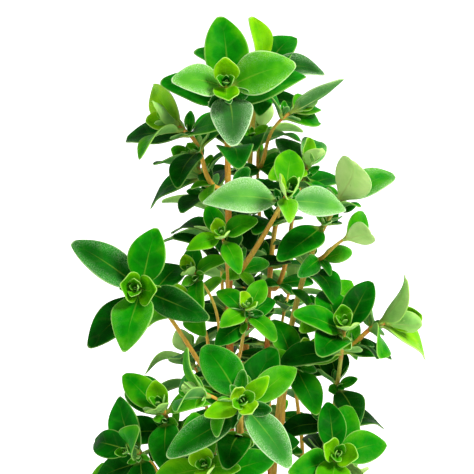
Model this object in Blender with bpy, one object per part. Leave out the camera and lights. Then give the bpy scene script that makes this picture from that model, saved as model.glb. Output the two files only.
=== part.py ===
"""Potted thyme: a young broad-leaved thyme plant growing in a plain terracotta pot.

Frame: metres, +Z up, origin at the centre of the pot's foot, front of the plant towards -Y.
The numbers below are millimetres; MM turns them to metres where a shape is made.

A shoot is one living piece: a square stem that carries its leaves in opposite pairs, each pair
a quarter turn round from the last. Long stems rise from the soil and side shoots leave them.
"""

import math
from collections import namedtuple

import bmesh
import bpy
from mathutils import Matrix, Quaternion, Vector
from mathutils.bvhtree import BVHTree

MM = 0.001

# Pot, in millimetres
POT_HEIGHT = 77.0
RIM_RADIUS = 48.0
RIM_DEPTH = 20.0
RIM_STEP = 2.6
FOOT_RADIUS = 32.0
WALL = 4.6
FLOOR = 5.0
DRAIN_RADIUS = 6.0
EDGE_ROUND = 1.2
POT_STEPS = 48

# Soil
SOIL_BELOW_RIM = 10.0
SOIL_GAP = 0.3
SOIL_STEPS = 36
SOIL_MOUND = 1.5
STEM_SUNK = 12.0
STEM_HOLE_GAP = 0.45

# Leaves, as shares of a full-grown leaf's length. Pairs are counted down from the tip of a shoot.
LEAF_WIDTH = 0.55
LEAF_THICK = 0.5
LEAF_CUP = 0.16
LEAF_CURL = 16.0
LEAF_STATIONS = ((0.36, 0.97), (0.70, 0.80))
PAIR_SIZE = (0.44, 0.92, 1.0, 1.0, 0.96, 0.92, 0.88, 0.85, 0.8, 0.78, 0.75, 0.7)
PAIR_OPEN = (35.0, 66.0, 76.0, 78.0, 80.0, 84.0, 88.0, 90.0, 90.0, 92.0, 94.0, 96.0)
PAIR_BELOW_TIP = (0.09, 0.20, 0.38, 0.72, 1.5, 2.25, 2.95, 3.65, 4.35, 5.05, 5.75, 6.5)
BAND_HEIGHT = 0.7
STEM_STEP = 12.0
SHOOT_RISE = 1.1

# A leaf that would grow into another turns aside by one of these (lift, swing, share of its size).
ASIDE = ((0, 0, 1), (12, 0, 1), (-12, 0, 1), (0, 14, 1), (0, -14, 1), (22, 0, 1), (-22, 0, 0.9),
         (12, 18, 0.85), (12, -18, 0.85), (34, 0, 0.8), (20, 26, 0.7), (20, -26, 0.7), (44, 0, 0.6))
LEAF_ROOM = 0.5

# A shoot's root is a place on the soil (x, y) or on another shoot (name, share of its length).
# tip is its growing point, facing is (heading, pitch): heading 0 is to the front and 90 to the
# right, pitch is above the horizontal. spin turns the leaf pairs round the tip, in degrees.
Shoot = namedtuple("Shoot", "name root tip facing pairs leaf spin thick")
SHOOTS = (
    # long stems
    Shoot("stem_top", (-1, 4), (-2, -1, 199), (0, 32), 12, 13.5, 0, 2.4),
    Shoot("stem_right", (6, 0), (22, 4, 174), (85, 52), 5, 12.5, 20, 2.0),
    Shoot("stem_front", (2, -7), (1, -41, 152), (3, 30), 9, 14.5, 34, 2.2),
    Shoot("stem_far_right", (14, -8), (21, -15, 154), (0, 60), 7, 12.5, 15, 1.6),
    Shoot("stem_left", (-9, -4), (-15, -19, 138), (-30, 60), 7, 12.5, 0, 2.0),
    Shoot("stem_back", (2, 11), (5, 26, 193), (20, 60), 11, 12, 0, 2.2),
    Shoot("stem_back_left", (-6, 9), (-9, 13, 177), (-90, 55), 11, 12, 75, 2.0),
    Shoot("stem_back_right", (9, 11), (10, 26, 166), (140, 65), 10, 12, 60, 2.0),
    # side shoots that face the front
    Shoot("shoot_left_rosette", ("stem_top", 0.48), (-19, -19, 164), (-12, 30), 4, 14.5, 72, 1.5),
    Shoot("shoot_centre_rosette", ("stem_top", 0.67), (10, -9, 180), (15, 45), 3, 14, 85, 1.8),
    Shoot("shoot_upper_left", ("stem_top", 0.80), (-13, 6, 188), (-80, 25), 4, 12.5, 75, 1.5),
    Shoot("shoot_heart", ("stem_top", 0.5), (2, -13, 157), (8, 62), 4, 8, 45, 1.3),
    Shoot("shoot_heart_high", ("stem_top", 0.6), (-3, -9, 171), (-10, 50), 3, 8, 20, 1.2),
    Shoot("shoot_mid_right", ("stem_right", 0.4), (19, 1, 150), (60, 40), 4, 12, 60, 1.4),
    Shoot("shoot_left_small", ("stem_top", 0.52), (-9, -7, 162), (-50, 50), 3, 8, 0, 1.2),
    Shoot("shoot_right_bud", ("stem_right", 0.87), (23, -3, 168), (90, 30), 2, 9.5, 30, 1.3),
    Shoot("shoot_right_wing", ("stem_far_right", 0.92), (31, -10, 152), (80, 5), 3, 13, 0, 1.4),
    Shoot("shoot_right_inner", ("stem_right", 0.5), (13, -10, 144), (30, 45), 4, 11, 30, 1.4),
    Shoot("shoot_low_right", ("stem_far_right", 0.42), (19, -34, 136), (10, 40), 4, 13, 75, 1.5),
    Shoot("shoot_low_left", ("stem_left", 0.6), (-21, -26, 132), (-35, 30), 4, 12, 0, 1.5),
    Shoot("shoot_front_small", ("stem_front", 0.915), (-8, -37, 152), (-80, 25), 3, 8.5, 30, 1.1),
    Shoot("shoot_front_low", ("stem_front", 0.5), (-6, -36, 135), (-15, 40), 4, 12, 10, 1.4),
    Shoot("shoot_upper_right", ("stem_back_right", 0.8), (15, 15, 176), (40, 60), 4, 12, 40, 1.5),
    Shoot("shoot_top_right", ("stem_back", 0.82), (13, 18, 187), (120, 15), 3, 12, 75, 1.4),
    Shoot("shoot_behind_left", ("stem_back_left", 0.55), (-11, 3, 150), (-60, 45), 3, 11, 0, 1.4),
    # side shoots that face the back
    Shoot("shoot_back_high", ("stem_back", 0.66), (5, 36, 176), (170, 45), 4, 12, 20, 1.4),
    Shoot("shoot_back_mid", ("stem_back", 0.5), (-5, 36, 158), (195, 35), 4, 13, 40, 1.4),
    Shoot("shoot_back_low", ("stem_back", 0.34), (2, 38, 138), (175, 35), 4, 13, 0, 1.4),
    Shoot("shoot_back_right_mid", ("stem_back_right", 0.5), (13, 32, 142), (150, 40), 4, 12, 50, 1.4),
    Shoot("shoot_back_left_low", ("stem_back_left", 0.4), (-11, 31, 124), (-150, 40), 4, 12, 20, 1.4),
    Shoot("shoot_back_foot", ("stem_back_right", 0.3), (8, 34, 120), (165, 35), 4, 12, 30, 1.4),
    # the low skirt of shoots over the rim
    Shoot("skirt_left", (-13, 2), (-33, -1, 102), (-85, 30), 5, 12, 45, 1.6),
    Shoot("skirt_front_left", (-10, -11), (-25, -24, 108), (-45, 35), 5, 12, 0, 1.6),
    Shoot("skirt_front", (-1, -15), (0, -35, 112), (0, 35), 5, 12, 30, 1.6),
    Shoot("skirt_front_right", (11, -15), (24, -27, 108), (45, 35), 5, 12, 60, 1.6),
    Shoot("skirt_right", (16, -1), (34, -4, 102), (88, 30), 5, 12, 20, 1.6),
    Shoot("skirt_back_right", (14, 13), (25, 23, 96), (135, 30), 5, 12, 45, 1.6),
    Shoot("skirt_back", (1, 17), (0, 35, 104), (180, 35), 5, 12, 10, 1.6),
    Shoot("skirt_back_left", (-12, 13), (-26, 22, 96), (-135, 30), 5, 12, 30, 1.6),
)

# Leaves that stand otherwise than the rule: (pair, which of the pair): (lift, swing, share of size).
SET_LEAVES = {
    "stem_top": {(0, 0): (0, 5, 1), (0, 1): (-10, 5, 1), (1, 0): (15, 0, 0.9), (1, 1): (5, 15, 1.1),
                 (2, 0): (20, 5, 1.1), (2, 1): (15, 5, 1), (3, 0): (15, -15, 1),
                 (3, 1): (15, 15, 1.2), (4, 1): (25, 10, 1), (5, 0): (-30, -15, 0.9),
                 (7, 0): (50, -20, 1.2), (7, 1): (30, 10, 1.1), (8, 0): (5, 40, 1)},
    "stem_front": {(0, 0): (0, 0, 0.6), (0, 1): (0, 0, 0.7), (1, 0): (10, -10, 0.55),
                   (1, 1): (15, 10, 0.5), (2, 0): (-15, 0, 0.9), (2, 1): (-5, 5, 1),
                   (3, 0): (0, 0, 1.1), (3, 1): (-10, 10, 1), (4, 0): (25, -55, 1.3),
                   (4, 1): (40, -45, 1)},
    "stem_right": {(1, 0): (50, 15, 1.1), (1, 1): (30, 15, 1.2), (3, 0): (-30, 25, 1.1),
                   (3, 1): (-20, 50, 1.1)},
    "stem_far_right": {(0, 0): (10, 5, 0.9), (1, 0): (30, -15, 1), (1, 1): (15, 45, 1),
                       (2, 1): (30, -45, 1)},
    "stem_left": {(1, 0): (5, -50, 1), (2, 0): (0, 35, 1.1)},
    "stem_back": {(1, 0): (60, -40, 1.2), (1, 1): (0, 5, 1.2), (2, 0): (25, -35, 1.1),
                  (3, 0): (30, -20, 1.3), (3, 1): (-15, -5, 1)},
    "stem_back_left": {(1, 0): (30, -10, 1.1), (1, 1): (-10, 30, 1), (2, 0): (-5, 15, 1.1),
                       (3, 0): (10, 0, 1)},
    "shoot_left_rosette": {(0, 0): (15, 0, 1), (0, 1): (-10, 0, 1), (1, 0): (30, 0, 1),
                           (1, 1): (-10, -5, 0.9), (2, 0): (5, -25, 1.2), (2, 1): (10, -15, 1),
                           (3, 0): (20, -35, 1.1), (3, 1): (-40, -15, 0.8)},
    "shoot_centre_rosette": {(0, 0): (10, 20, 1), (0, 1): (25, -15, 0.9), (1, 0): (40, 10, 0.6),
                             (1, 1): (-30, 0, 0.9), (2, 0): (0, 15, 1.1), (2, 1): (-10, 10, 0.9)},
    "shoot_upper_left": {(0, 1): (10, 25, 1.2), (1, 0): (25, -10, 1.1), (1, 1): (30, 25, 1.1),
                         (2, 0): (25, -5, 1.2)},
    "shoot_heart": {(1, 1): (5, 20, 1)},
    "shoot_top_right": {(1, 0): (45, -25, 1.2), (1, 1): (25, -40, 1), (2, 1): (30, 30, 0.9)},
    "shoot_upper_right": {(0, 1): (25, -10, 1), (1, 1): (-15, 35, 1), (2, 0): (-5, -15, 1)},
    "shoot_right_bud": {(1, 0): (40, 40, 1.1), (1, 1): (15, 40, 1)},
    "shoot_right_wing": {(0, 0): (25, -15, 1.1), (0, 1): (30, -10, 1.1), (1, 0): (35, 5, 1.1),
                         (1, 1): (20, -5, 1.1), (2, 0): (0, -35, 1), (2, 1): (-10, -15, 0.9)},
    "shoot_low_right": {(1, 1): (-10, 25, 0.9), (2, 0): (35, 45, 0.9), (2, 1): (-15, 40, 0.9)},
    "shoot_low_left": {(1, 0): (-15, -35, 1), (1, 1): (50, 10, 1)},
    "shoot_front_small": {(1, 1): (25, 25, 1.1), (2, 0): (15, 10, 1), (2, 1): (55, -35, 1.2)},
}
AS_THE_RULE = (0, 0, 1)


# --- curves and frames -------------------------------------------------------------------

def direction(heading, pitch):
    """Unit vector for a heading round from the front and a pitch above the horizontal."""
    h, p = math.radians(heading), math.radians(pitch)
    return Vector((math.sin(h) * math.cos(p), -math.cos(h) * math.cos(p), math.sin(p)))


def bezier(points, t):
    a, b, c, d = points
    s = 1 - t
    return a * s**3 + b * (3 * s * s * t) + c * (3 * s * t * t) + d * t**3


def curve_points(start, way_out, tip, way_in, steps=48):
    """Evenly spaced points on a smooth curve that leaves along way_out and arrives along way_in."""
    reach = (tip - start).length
    handles = (start, start + way_out * reach * 0.35, tip - way_in * min(reach * 0.5, 26), tip)
    fine = [bezier(handles, i / 200) for i in range(201)]
    along = [0.0]
    for a, b in zip(fine, fine[1:]):
        along.append(along[-1] + (b - a).length)
    points = []
    j = 0
    for i in range(steps + 1):
        want = along[-1] * i / steps
        while j < 199 and along[j + 1] < want:
            j += 1
        span = along[j + 1] - along[j]
        points.append(fine[j].lerp(fine[j + 1], min(1.0, (want - along[j]) / span)))
    return points, along[-1]


def spot(points, share):
    """(place, tangent) at a share of a curve's length."""
    x = max(0.0, min(1.0, share)) * (len(points) - 1)
    i = min(int(x), len(points) - 2)
    return points[i].lerp(points[i + 1], x - i), (points[i + 1] - points[i]).normalized()


def side_at_tip(tangent, spin):
    """The direction of the first leaf pair: up the back of the tip, turned by spin."""
    away = Vector((0, 0.96, 0.28))
    side = (away - tangent * away.dot(tangent)).normalized()
    return Quaternion(tangent, math.radians(spin)) @ side


def sides_down(points, spin):
    """A side direction for each point, carried down from the tip without twisting."""
    tangent = (points[-1] - points[-2]).normalized()
    side = side_at_tip(tangent, spin)
    sides = [side]
    for i in range(len(points) - 2, -1, -1):
        step = (points[i + 1] - points[i]).normalized()
        side = tangent.rotation_difference(step) @ side
        side = (side - step * side.dot(step)).normalized()
        tangent = step
        sides.append(side)
    return sides[::-1]


# --- a shoot's stem and leaves, in millimetres ---------------------------------------------

class Grown:
    """A shoot's course: its curve, the side directions along it and its thickness."""

    def __init__(self, shoot, others):
        self.shoot = shoot
        tip = Vector(shoot.tip)
        if isinstance(shoot.root[0], str):
            parent = others[shoot.root[0]]
            place, up = spot(parent.points, shoot.root[1])
            out = tip - place
            out = (out - up * out.dot(up)).normalized()
            clear = 0.75 * parent.thick_at(shoot.root[1]) + 0.6 * shoot.thick + 0.5
            start = place + out * clear
            way_out = (out + up * SHOOT_RISE).normalized()
        else:
            start = Vector((*shoot.root, POT_HEIGHT - SOIL_BELOW_RIM - STEM_SUNK))
            lean = tip - start
            way_out = Vector((lean.x * 0.3, lean.y * 0.3, lean.z)).normalized()
        self.points, self.length = curve_points(start, way_out, tip, direction(*shoot.facing))
        self.sides = sides_down(self.points, shoot.spin)

    def thick_at(self, share):
        """The stem narrows to half its thickness at the tip."""
        return self.shoot.thick * (1 - 0.5 * max(0.0, min(1.0, share)))

    def frame_at(self, share):
        place, tangent = spot(self.points, share)
        i = min(len(self.sides) - 1, round(share * (len(self.sides) - 1)))
        side = self.sides[i]
        side = (side - tangent * side.dot(tangent)).normalized()
        return place, tangent, side, tangent.cross(side)

    def ring(self, share):
        """The four corners of the square stem. Side i lies between corners i and i + 1."""
        place, _, side, other = self.frame_at(share)
        half = self.thick_at(share) / 2
        turns = ((1, -1), (1, 1), (-1, 1), (-1, -1))
        return [place + side * half * a + other * half * b for a, b in turns]

    def patch(self, share, side):
        """The four corners of the short band on one side of the stem, where a leaf leaves it."""
        half = BAND_HEIGHT / 2 / self.length
        low, high = self.ring(share - half), self.ring(share + half)
        after = (side + 1) % 4
        return [low[side], low[after], high[after], high[side]]

    def pair_shares(self):
        """Where the leaf pairs sit, as shares of the length, from the tip down."""
        below = [PAIR_BELOW_TIP[i] * self.shoot.leaf for i in range(self.shoot.pairs)]
        return [1 - d / self.length for d in below if d < self.length - 3]

    def stops(self):
        """Where the stem's rings are, with a short band for each leaf pair to grow from."""
        band = BAND_HEIGHT / 2 / self.length
        bands = self.pair_shares()
        steps = max(2, round(self.length / STEM_STEP))
        plain = [i / steps for i in range(steps)]
        spaced = [s for s in plain if all(abs(s - b) > 3 * band for b in bands)]
        return sorted(spaced + [b - band for b in bands] + [b + band for b in bands] + [1.0])


def leaf_sections(grown, share, pair, which, aside):
    """One leaf: the patch of stem it leaves from, two diamond sections (left, under, right,
    upper) and its tip."""
    lift, swing, scale = aside
    own = SET_LEAVES.get(grown.shoot.name, {}).get((pair, which), AS_THE_RULE)
    place, tangent, side, other = grown.frame_at(share)
    out = side if pair % 2 == 0 else other
    if which:
        out = -out
    out = Quaternion(tangent, math.radians(swing + own[1])) @ out
    across = tangent.cross(out)
    angle = math.radians(PAIR_OPEN[pair] - lift - own[0])
    length = grown.shoot.leaf * PAIR_SIZE[pair] * scale * own[2]
    half = length * LEAF_WIDTH / 2
    base = place + out * grown.thick_at(share) / 2

    def midrib(s):
        """A gentle arch: the leaf sets off at its angle and bends away from the stem."""
        bend = angle + math.radians(LEAF_CURL) * (s - 0.5)
        ahead = tangent * math.cos(bend) + out * math.sin(bend)
        upper = tangent * math.sin(bend) - out * math.cos(bend)
        return base + ahead * length * s, upper

    sections = [grown.patch(share, (pair % 2) + 2 * which)]
    for s, share_of_width in LEAF_STATIONS:
        middle, upper = midrib(s)
        edge = half * share_of_width
        rise = upper * edge * LEAF_CUP
        thick = upper * LEAF_THICK / 2
        sections.append([middle - across * edge + rise, middle - thick,
                         middle + across * edge + rise, middle + thick])
    return sections, midrib(1.0)[0]


def closed_tree(loops, tip=None, cap=False):
    """A BVH tree of the skin through loops of four corners, ending in a tip or in a cap."""
    verts = [p for loop in loops for p in loop]
    faces = []
    for k in range(len(loops) - 1):
        for i in range(4):
            j = (i + 1) % 4
            faces.append((4 * k + i, 4 * k + j, 4 * k + 4 + j, 4 * k + 4 + i))
    last = 4 * (len(loops) - 1)
    if tip is not None:
        verts.append(tip)
        faces += [(last + i, last + (i + 1) % 4, len(verts) - 1) for i in range(4)]
    if cap:
        faces.append((last, last + 1, last + 2, last + 3))
    low = Vector([min(v[k] for v in verts) for k in range(3)])
    high = Vector([max(v[k] for v in verts) for k in range(3)])
    return BVHTree.FromPolygons(verts, faces), low, high


def fattened(sections, tip, room):
    """The leaf's skin with room to spare all round, to test whether it is clear."""
    loops = [sections[0]]
    for left, under, right, upper in sections[1:]:
        across = (right - left).normalized()
        up = (upper - under).normalized()
        loops.append([left - across * room, under - up * room,
                      right + across * room, upper + up * room])
    middle = (sections[-1][1] + sections[-1][3]) / 2
    return loops, tip + (tip - middle).normalized() * room


def clear_of(shape, taken, own):
    tree, low, high = shape
    for owner, (other, other_low, other_high) in taken:
        if owner == own:
            continue
        apart = any(low[k] > other_high[k] or high[k] < other_low[k] for k in range(3))
        if not apart and tree.overlap(other):
            return False
    return True


def grow_all():
    """Settles every shoot's course, then every leaf that has room. Returns {name: (course, leaves)}."""
    grown = {}
    for shoot in SHOOTS:
        grown[shoot.name] = Grown(shoot, grown)
    taken = []
    for name, course in grown.items():
        rings = [course.ring(share) for share in course.stops()]
        taken.append((name, closed_tree(rings, cap=True)))
    leaves = {name: [] for name in grown}
    for name, pair, which in leaf_order():
        shares = grown[name].pair_shares()
        if pair < len(shares):
            found = place_leaf(grown[name], shares[pair], pair, which, taken)
            leaves[name] += found
    return {name: (grown[name], leaves[name]) for name in grown}


def leaf_order():
    """(shoot, pair, which) of every leaf: the set leaves first, then pair by pair from the tips."""
    first = [(name, *leaf) for name in SET_LEAVES for leaf in SET_LEAVES[name]]
    rest = []
    for pair in range(len(PAIR_SIZE)):
        for shoot in SHOOTS:
            if pair < shoot.pairs:
                rest += [(shoot.name, pair, which) for which in (0, 1)]
    return first + [leaf for leaf in rest if leaf not in set(first)]


def place_leaf(course, share, pair, which, taken):
    """The leaf in the first way that leaves it clear of all that has grown, or none."""
    name = course.shoot.name
    for aside in ASIDE:
        sections, tip = leaf_sections(course, share, pair, which, aside)
        shape = closed_tree(*fattened(sections, tip, LEAF_ROOM))
        if tip.z > POT_HEIGHT + 4 and clear_of(shape, taken, name):
            taken.append((f"{name}/{pair}/{which}", shape))
            return [(share, pair, which, sections, tip)]
    return []


# --- solids ----------------------------------------------------------------------------------

def extrude_to(bm, face, corners, places):
    """Extrudes a face and puts its corners, in the order given, at new places."""
    old = [corner.co.copy() for corner in corners]
    made = bmesh.ops.extrude_discrete_faces(bm, faces=[face])["faces"][0]
    moved = [min(made.verts, key=lambda v, c=c: (v.co - c).length_squared) for c in old]
    for vert, place in zip(moved, places):
        vert.co = place * MM
    return made, moved


def shoot_mesh(course, leaves):
    """One closed skin: the square stem is extruded ring by ring, and each leaf out of its side."""
    bm = bmesh.new()
    by_share = {}
    for share, pair, which, sections, tip in leaves:
        by_share.setdefault(share, []).append((pair, which, sections, tip))
    stops = course.stops()
    corners = [bm.verts.new(p * MM) for p in course.ring(0.0)]
    end = bm.faces.new(corners)
    foot = list(corners)
    sides = {}
    for stop in stops[1:]:
        places = course.ring(stop)
        end, ahead = extrude_to(bm, end, corners, places)
        for i in range(4):
            j = (i + 1) % 4
            sides[(round(stop, 9), i)] = (corners[i], corners[j], ahead[j], ahead[i])
        corners = ahead
    bm.faces.new(foot[::-1])

    for share, group in by_share.items():
        top = round(share + BAND_HEIGHT / 2 / course.length, 9)
        for pair, which, sections, tip in group:
            i = (pair % 2) + 2 * which
            ring = sides[(top, i)]
            face = bm.faces.get(ring)
            order = list(ring)
            for section in sections[1:]:
                face, order = extrude_to(bm, face, order, section)
            face, order = extrude_to(bm, face, order, [tip] * 4)
            bmesh.ops.pointmerge(bm, verts=order, merge_co=tip * MM)
    bmesh.ops.recalc_face_normals(bm, faces=bm.faces)
    return bm


def finished(name, bm, material, smooth=None):
    mesh = bpy.data.meshes.new(name)
    bm.to_mesh(mesh)
    bm.free()
    obj = bpy.data.objects.new(name, mesh)
    bpy.context.scene.collection.objects.link(obj)
    mesh.materials.append(material)
    if smooth is not None:
        mesh.shade_smooth()
        mesh.set_sharp_from_angle(angle=math.radians(smooth))
    return obj


def plain_material(name, colour, roughness):
    material = bpy.data.materials.new(name)
    material.use_nodes = True
    shader = material.node_tree.nodes["Principled BSDF"]
    shader.inputs["Base Color"].default_value = (*colour, 1)
    shader.inputs["Roughness"].default_value = roughness
    material.diffuse_color = (*colour, 1)
    return material


def turned(profile, steps, closed=True):
    """A solid of revolution about Z from an outline of (radius, height) in millimetres.
    An outline that isn't closed starts and ends on the axis."""
    bm = bmesh.new()
    verts = [bm.verts.new(Vector((r, 0, z)) * MM) for r, z in profile]
    edges = [bm.edges.new(pair) for pair in zip(verts, verts[1:])]
    if closed:
        edges.append(bm.edges.new((verts[-1], verts[0])))
    bmesh.ops.spin(bm, geom=verts + edges, cent=(0, 0, 0), axis=(0, 0, 1),
                   angle=2 * math.pi, steps=steps, use_merge=True, use_duplicate=False)
    bmesh.ops.remove_doubles(bm, verts=bm.verts, dist=1e-6)
    bmesh.ops.recalc_face_normals(bm, faces=bm.faces)
    return bm


def rounded(corner, before, after, radius):
    """Three points that ease an outline's corner."""
    c, a, b = Vector(corner), Vector(before), Vector(after)
    start = c + (a - c).normalized() * radius
    stop = c + (b - c).normalized() * radius
    return [tuple(start), tuple((start + stop + c * 2) / 4), tuple(stop)]


def wall_radius(z):
    """Outer radius of the tapered wall under the rim band."""
    share = z / (POT_HEIGHT - RIM_DEPTH)
    return FOOT_RADIUS + (RIM_RADIUS - RIM_STEP - FOOT_RADIUS) * share


def inner_radius(z):
    top = wall_radius(POT_HEIGHT - RIM_DEPTH) - WALL + RIM_STEP * 0.5
    bottom = wall_radius(FLOOR) - WALL
    return bottom + (top - bottom) * (z - FLOOR) / (POT_HEIGHT - FLOOR)


def make_pot(material):
    under_rim = POT_HEIGHT - RIM_DEPTH
    corners = [(DRAIN_RADIUS, 0), (FOOT_RADIUS, 0), (wall_radius(under_rim), under_rim),
               (RIM_RADIUS - 1.0, under_rim), (RIM_RADIUS, POT_HEIGHT),
               (inner_radius(POT_HEIGHT), POT_HEIGHT), (inner_radius(FLOOR), FLOOR),
               (DRAIN_RADIUS, FLOOR)]
    profile = []
    for i, corner in enumerate(corners):
        sharp = i in (2, 6)
        if sharp:
            profile.append(corner)
        else:
            after = corners[(i + 1) % len(corners)]
            profile += rounded(corner, corners[i - 1], after, EDGE_ROUND)
    return finished("pot", turned(profile, POT_STEPS), material, smooth=35)


def make_soil(material, grown):
    top = POT_HEIGHT - SOIL_BELOW_RIM
    low = FLOOR + SOIL_GAP
    gap = SOIL_GAP / math.cos(math.pi / SOIL_STEPS)
    profile = [(0, low), (inner_radius(low) - gap, low), (inner_radius(top) - gap, top),
               (inner_radius(top) * 0.6, top + SOIL_MOUND * 0.6), (0, top + SOIL_MOUND)]
    soil = finished("soil", turned(profile, SOIL_STEPS, closed=False), material)
    for name, (course, _) in grown.items():
        if isinstance(course.shoot.root[0], str):
            continue
        cutter = stem_hole(name, course, top)
        cut = soil.modifiers.new("hole_" + name, "BOOLEAN")
        cut.operation = "DIFFERENCE"
        cut.solver = "EXACT"
        cut.object = cutter
    return soil


def stem_hole(name, course, top):
    """A guide that cuts the hole where a stem goes down into the soil."""
    bm = bmesh.new()
    half = course.shoot.thick / 2 * math.sqrt(2) + STEM_HOLE_GAP
    above = (STEM_SUNK + SOIL_MOUND + 6) / course.length
    foot, tangent = spot(course.points, 0)
    head, _ = spot(course.points, above)
    foot = foot - tangent * 1.0
    length = (head - foot).length
    turn = Vector((0, 0, 1)).rotation_difference((head - foot).normalized()).to_matrix().to_4x4()
    bmesh.ops.create_cone(bm, cap_ends=True, segments=10, radius1=half * MM, radius2=half * MM,
                          depth=length * MM, matrix=Matrix.Translation((head + foot) / 2 * MM) @ turn)
    cutter = finished("cut_" + name, bm, bpy.data.materials["soil"])
    cutter.hide_render = True
    cutter.display_type = "WIRE"
    return cutter


def main():
    for obj in list(bpy.data.objects):
        bpy.data.objects.remove(obj)
    terracotta = plain_material("terracotta", (0.58, 0.24, 0.12), 0.9)
    soil = plain_material("soil", (0.035, 0.022, 0.014), 1.0)
    leaf = plain_material("thyme_leaf", (0.04, 0.26, 0.02), 0.5)
    grown = grow_all()
    make_pot(terracotta)
    make_soil(soil, grown)
    for name, (course, leaves) in grown.items():
        finished(name, shoot_mesh(course, leaves), leaf)


main()
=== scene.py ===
# %% [markdown]
# # A potted thyme plant
# A young broad-leaved thyme in a plain terracotta pot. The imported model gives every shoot, the
# soil and the pot their places. This lesson builds a finished piece for each of them in that
# same frame: metres, +Z up, the middle of the pot's foot at the origin, the front towards -Y.

import math
import random
from collections import namedtuple

import bmesh
import bpy
import numpy as np
from mathutils import Matrix, Quaternion, Vector, noise


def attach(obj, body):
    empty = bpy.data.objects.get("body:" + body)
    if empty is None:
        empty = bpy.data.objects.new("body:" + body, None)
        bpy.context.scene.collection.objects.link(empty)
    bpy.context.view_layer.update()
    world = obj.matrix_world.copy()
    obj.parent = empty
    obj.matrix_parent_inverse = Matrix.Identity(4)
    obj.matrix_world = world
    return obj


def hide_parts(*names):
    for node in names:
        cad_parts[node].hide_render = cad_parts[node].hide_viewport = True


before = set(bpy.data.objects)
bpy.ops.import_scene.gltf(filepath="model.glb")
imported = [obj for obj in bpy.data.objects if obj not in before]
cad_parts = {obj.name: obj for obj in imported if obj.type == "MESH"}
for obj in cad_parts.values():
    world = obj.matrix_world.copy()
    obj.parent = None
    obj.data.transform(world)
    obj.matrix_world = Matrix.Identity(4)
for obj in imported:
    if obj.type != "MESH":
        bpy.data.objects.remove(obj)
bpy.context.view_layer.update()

# %% [markdown]
# ## Units and small helpers
# A plant is measured in millimetres and the frame is in metres, so shapes are worked out in
# millimetres and scaled by MM where a vertex is placed. Colours are written as the hex codes
# that a designer would note down, and one function turns them to the linear light that shaders
# add up. Another function adds a shader node with its settings and its links in one line.

# %% Helpers for units, colours, nodes and objects
MM = 0.001


def linear(code):
    """An sRGB hex colour as the four linear numbers of a colour socket."""
    parts = [int(code[i:i + 2], 16) / 255 for i in (1, 3, 5)]
    parts = [c / 12.92 if c <= 0.04045 else ((c + 0.055) / 1.055) ** 2.4 for c in parts]
    return (*parts, 1.0)


def add(tree, kind, settings=None, **sockets):
    """Adds a shader node. A socket is named by its label, or i0, i1... by its number, and takes
    a plain value or another node's output."""
    node = tree.nodes.new("ShaderNode" + kind)
    for name, value in (settings or {}).items():
        if name == "stops":
            ramp = node.color_ramp
            while len(ramp.elements) < len(value):
                ramp.elements.new(0.5)
            for element, (place, code) in zip(ramp.elements, value):
                element.position = place
                element.color = linear(code)
        else:
            setattr(node, name, value)
    for name, value in sockets.items():
        key = int(name[1:]) if name[0] == "i" and name[1:].isdigit() else name.replace("_", " ")
        if isinstance(value, bpy.types.NodeSocket):
            tree.links.new(value, node.inputs[key])
        else:
            node.inputs[key].default_value = value
    return node


def new_material(name):
    """An empty node material with its Principled shader, ready for the first pattern."""
    material = bpy.data.materials.new(name)
    material.use_nodes = True
    return material, material.node_tree, material.node_tree.nodes["Principled BSDF"]


def show(name, bm, materials, node):
    """Turns a bmesh into a smooth piece of the object that stands for a node of the frame."""
    mesh = bpy.data.meshes.new(name)
    bm.to_mesh(mesh)
    bm.free()
    mesh.shade_smooth()
    piece = bpy.data.objects.new(name, mesh)
    bpy.context.scene.collection.objects.link(piece)
    for material in materials:
        mesh.materials.append(material)
    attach(piece, "root")
    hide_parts(node)
    return piece


print("white is", linear("#FFFFFF"))

# %% [markdown]
# ## The view
# The camera looks down on the top half of the plant at 25 degrees, from 38 cm away. A long lens
# keeps the leaves in the proportions that the eye sees when it picks out one sprig.

# %% Camera
CAMERA_TILT = math.radians(25)
CAMERA_DISTANCE = 380.0
VIEW_WIDTH = 94.8
AIM = Vector((0, 0, 166))

camera = bpy.data.objects.new("camera", bpy.data.cameras.new("camera"))
bpy.context.scene.collection.objects.link(camera)
camera.data.sensor_width = 36
camera.data.lens = 36 * CAMERA_DISTANCE / VIEW_WIDTH
away = Vector((0, -math.cos(CAMERA_TILT), math.sin(CAMERA_TILT)))
camera.location = (AIM + away * CAMERA_DISTANCE) * MM
camera.rotation_euler = (-away).to_track_quat("-Z", "Y").to_euler()
camera.data.clip_start = 0.02
camera.data.clip_end = 50
bpy.context.scene.camera = camera
print("lens", round(camera.data.lens, 1), "mm")

# %% [markdown]
# ## Where the shoots grow
# Thyme carries its leaves in opposite pairs, and each pair stands a quarter turn round from the
# last, so a shoot seen from its tip is a cross-shaped rosette. These are the plant's own
# figures, the same as those that its solid model was grown from: the root of each shoot (on the
# soil, or a share of the way up another shoot), its tip, the way its tip faces, its pairs of
# leaves, the length of a full-grown leaf, the turn of its rosette and the thickness of its stem.

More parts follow.
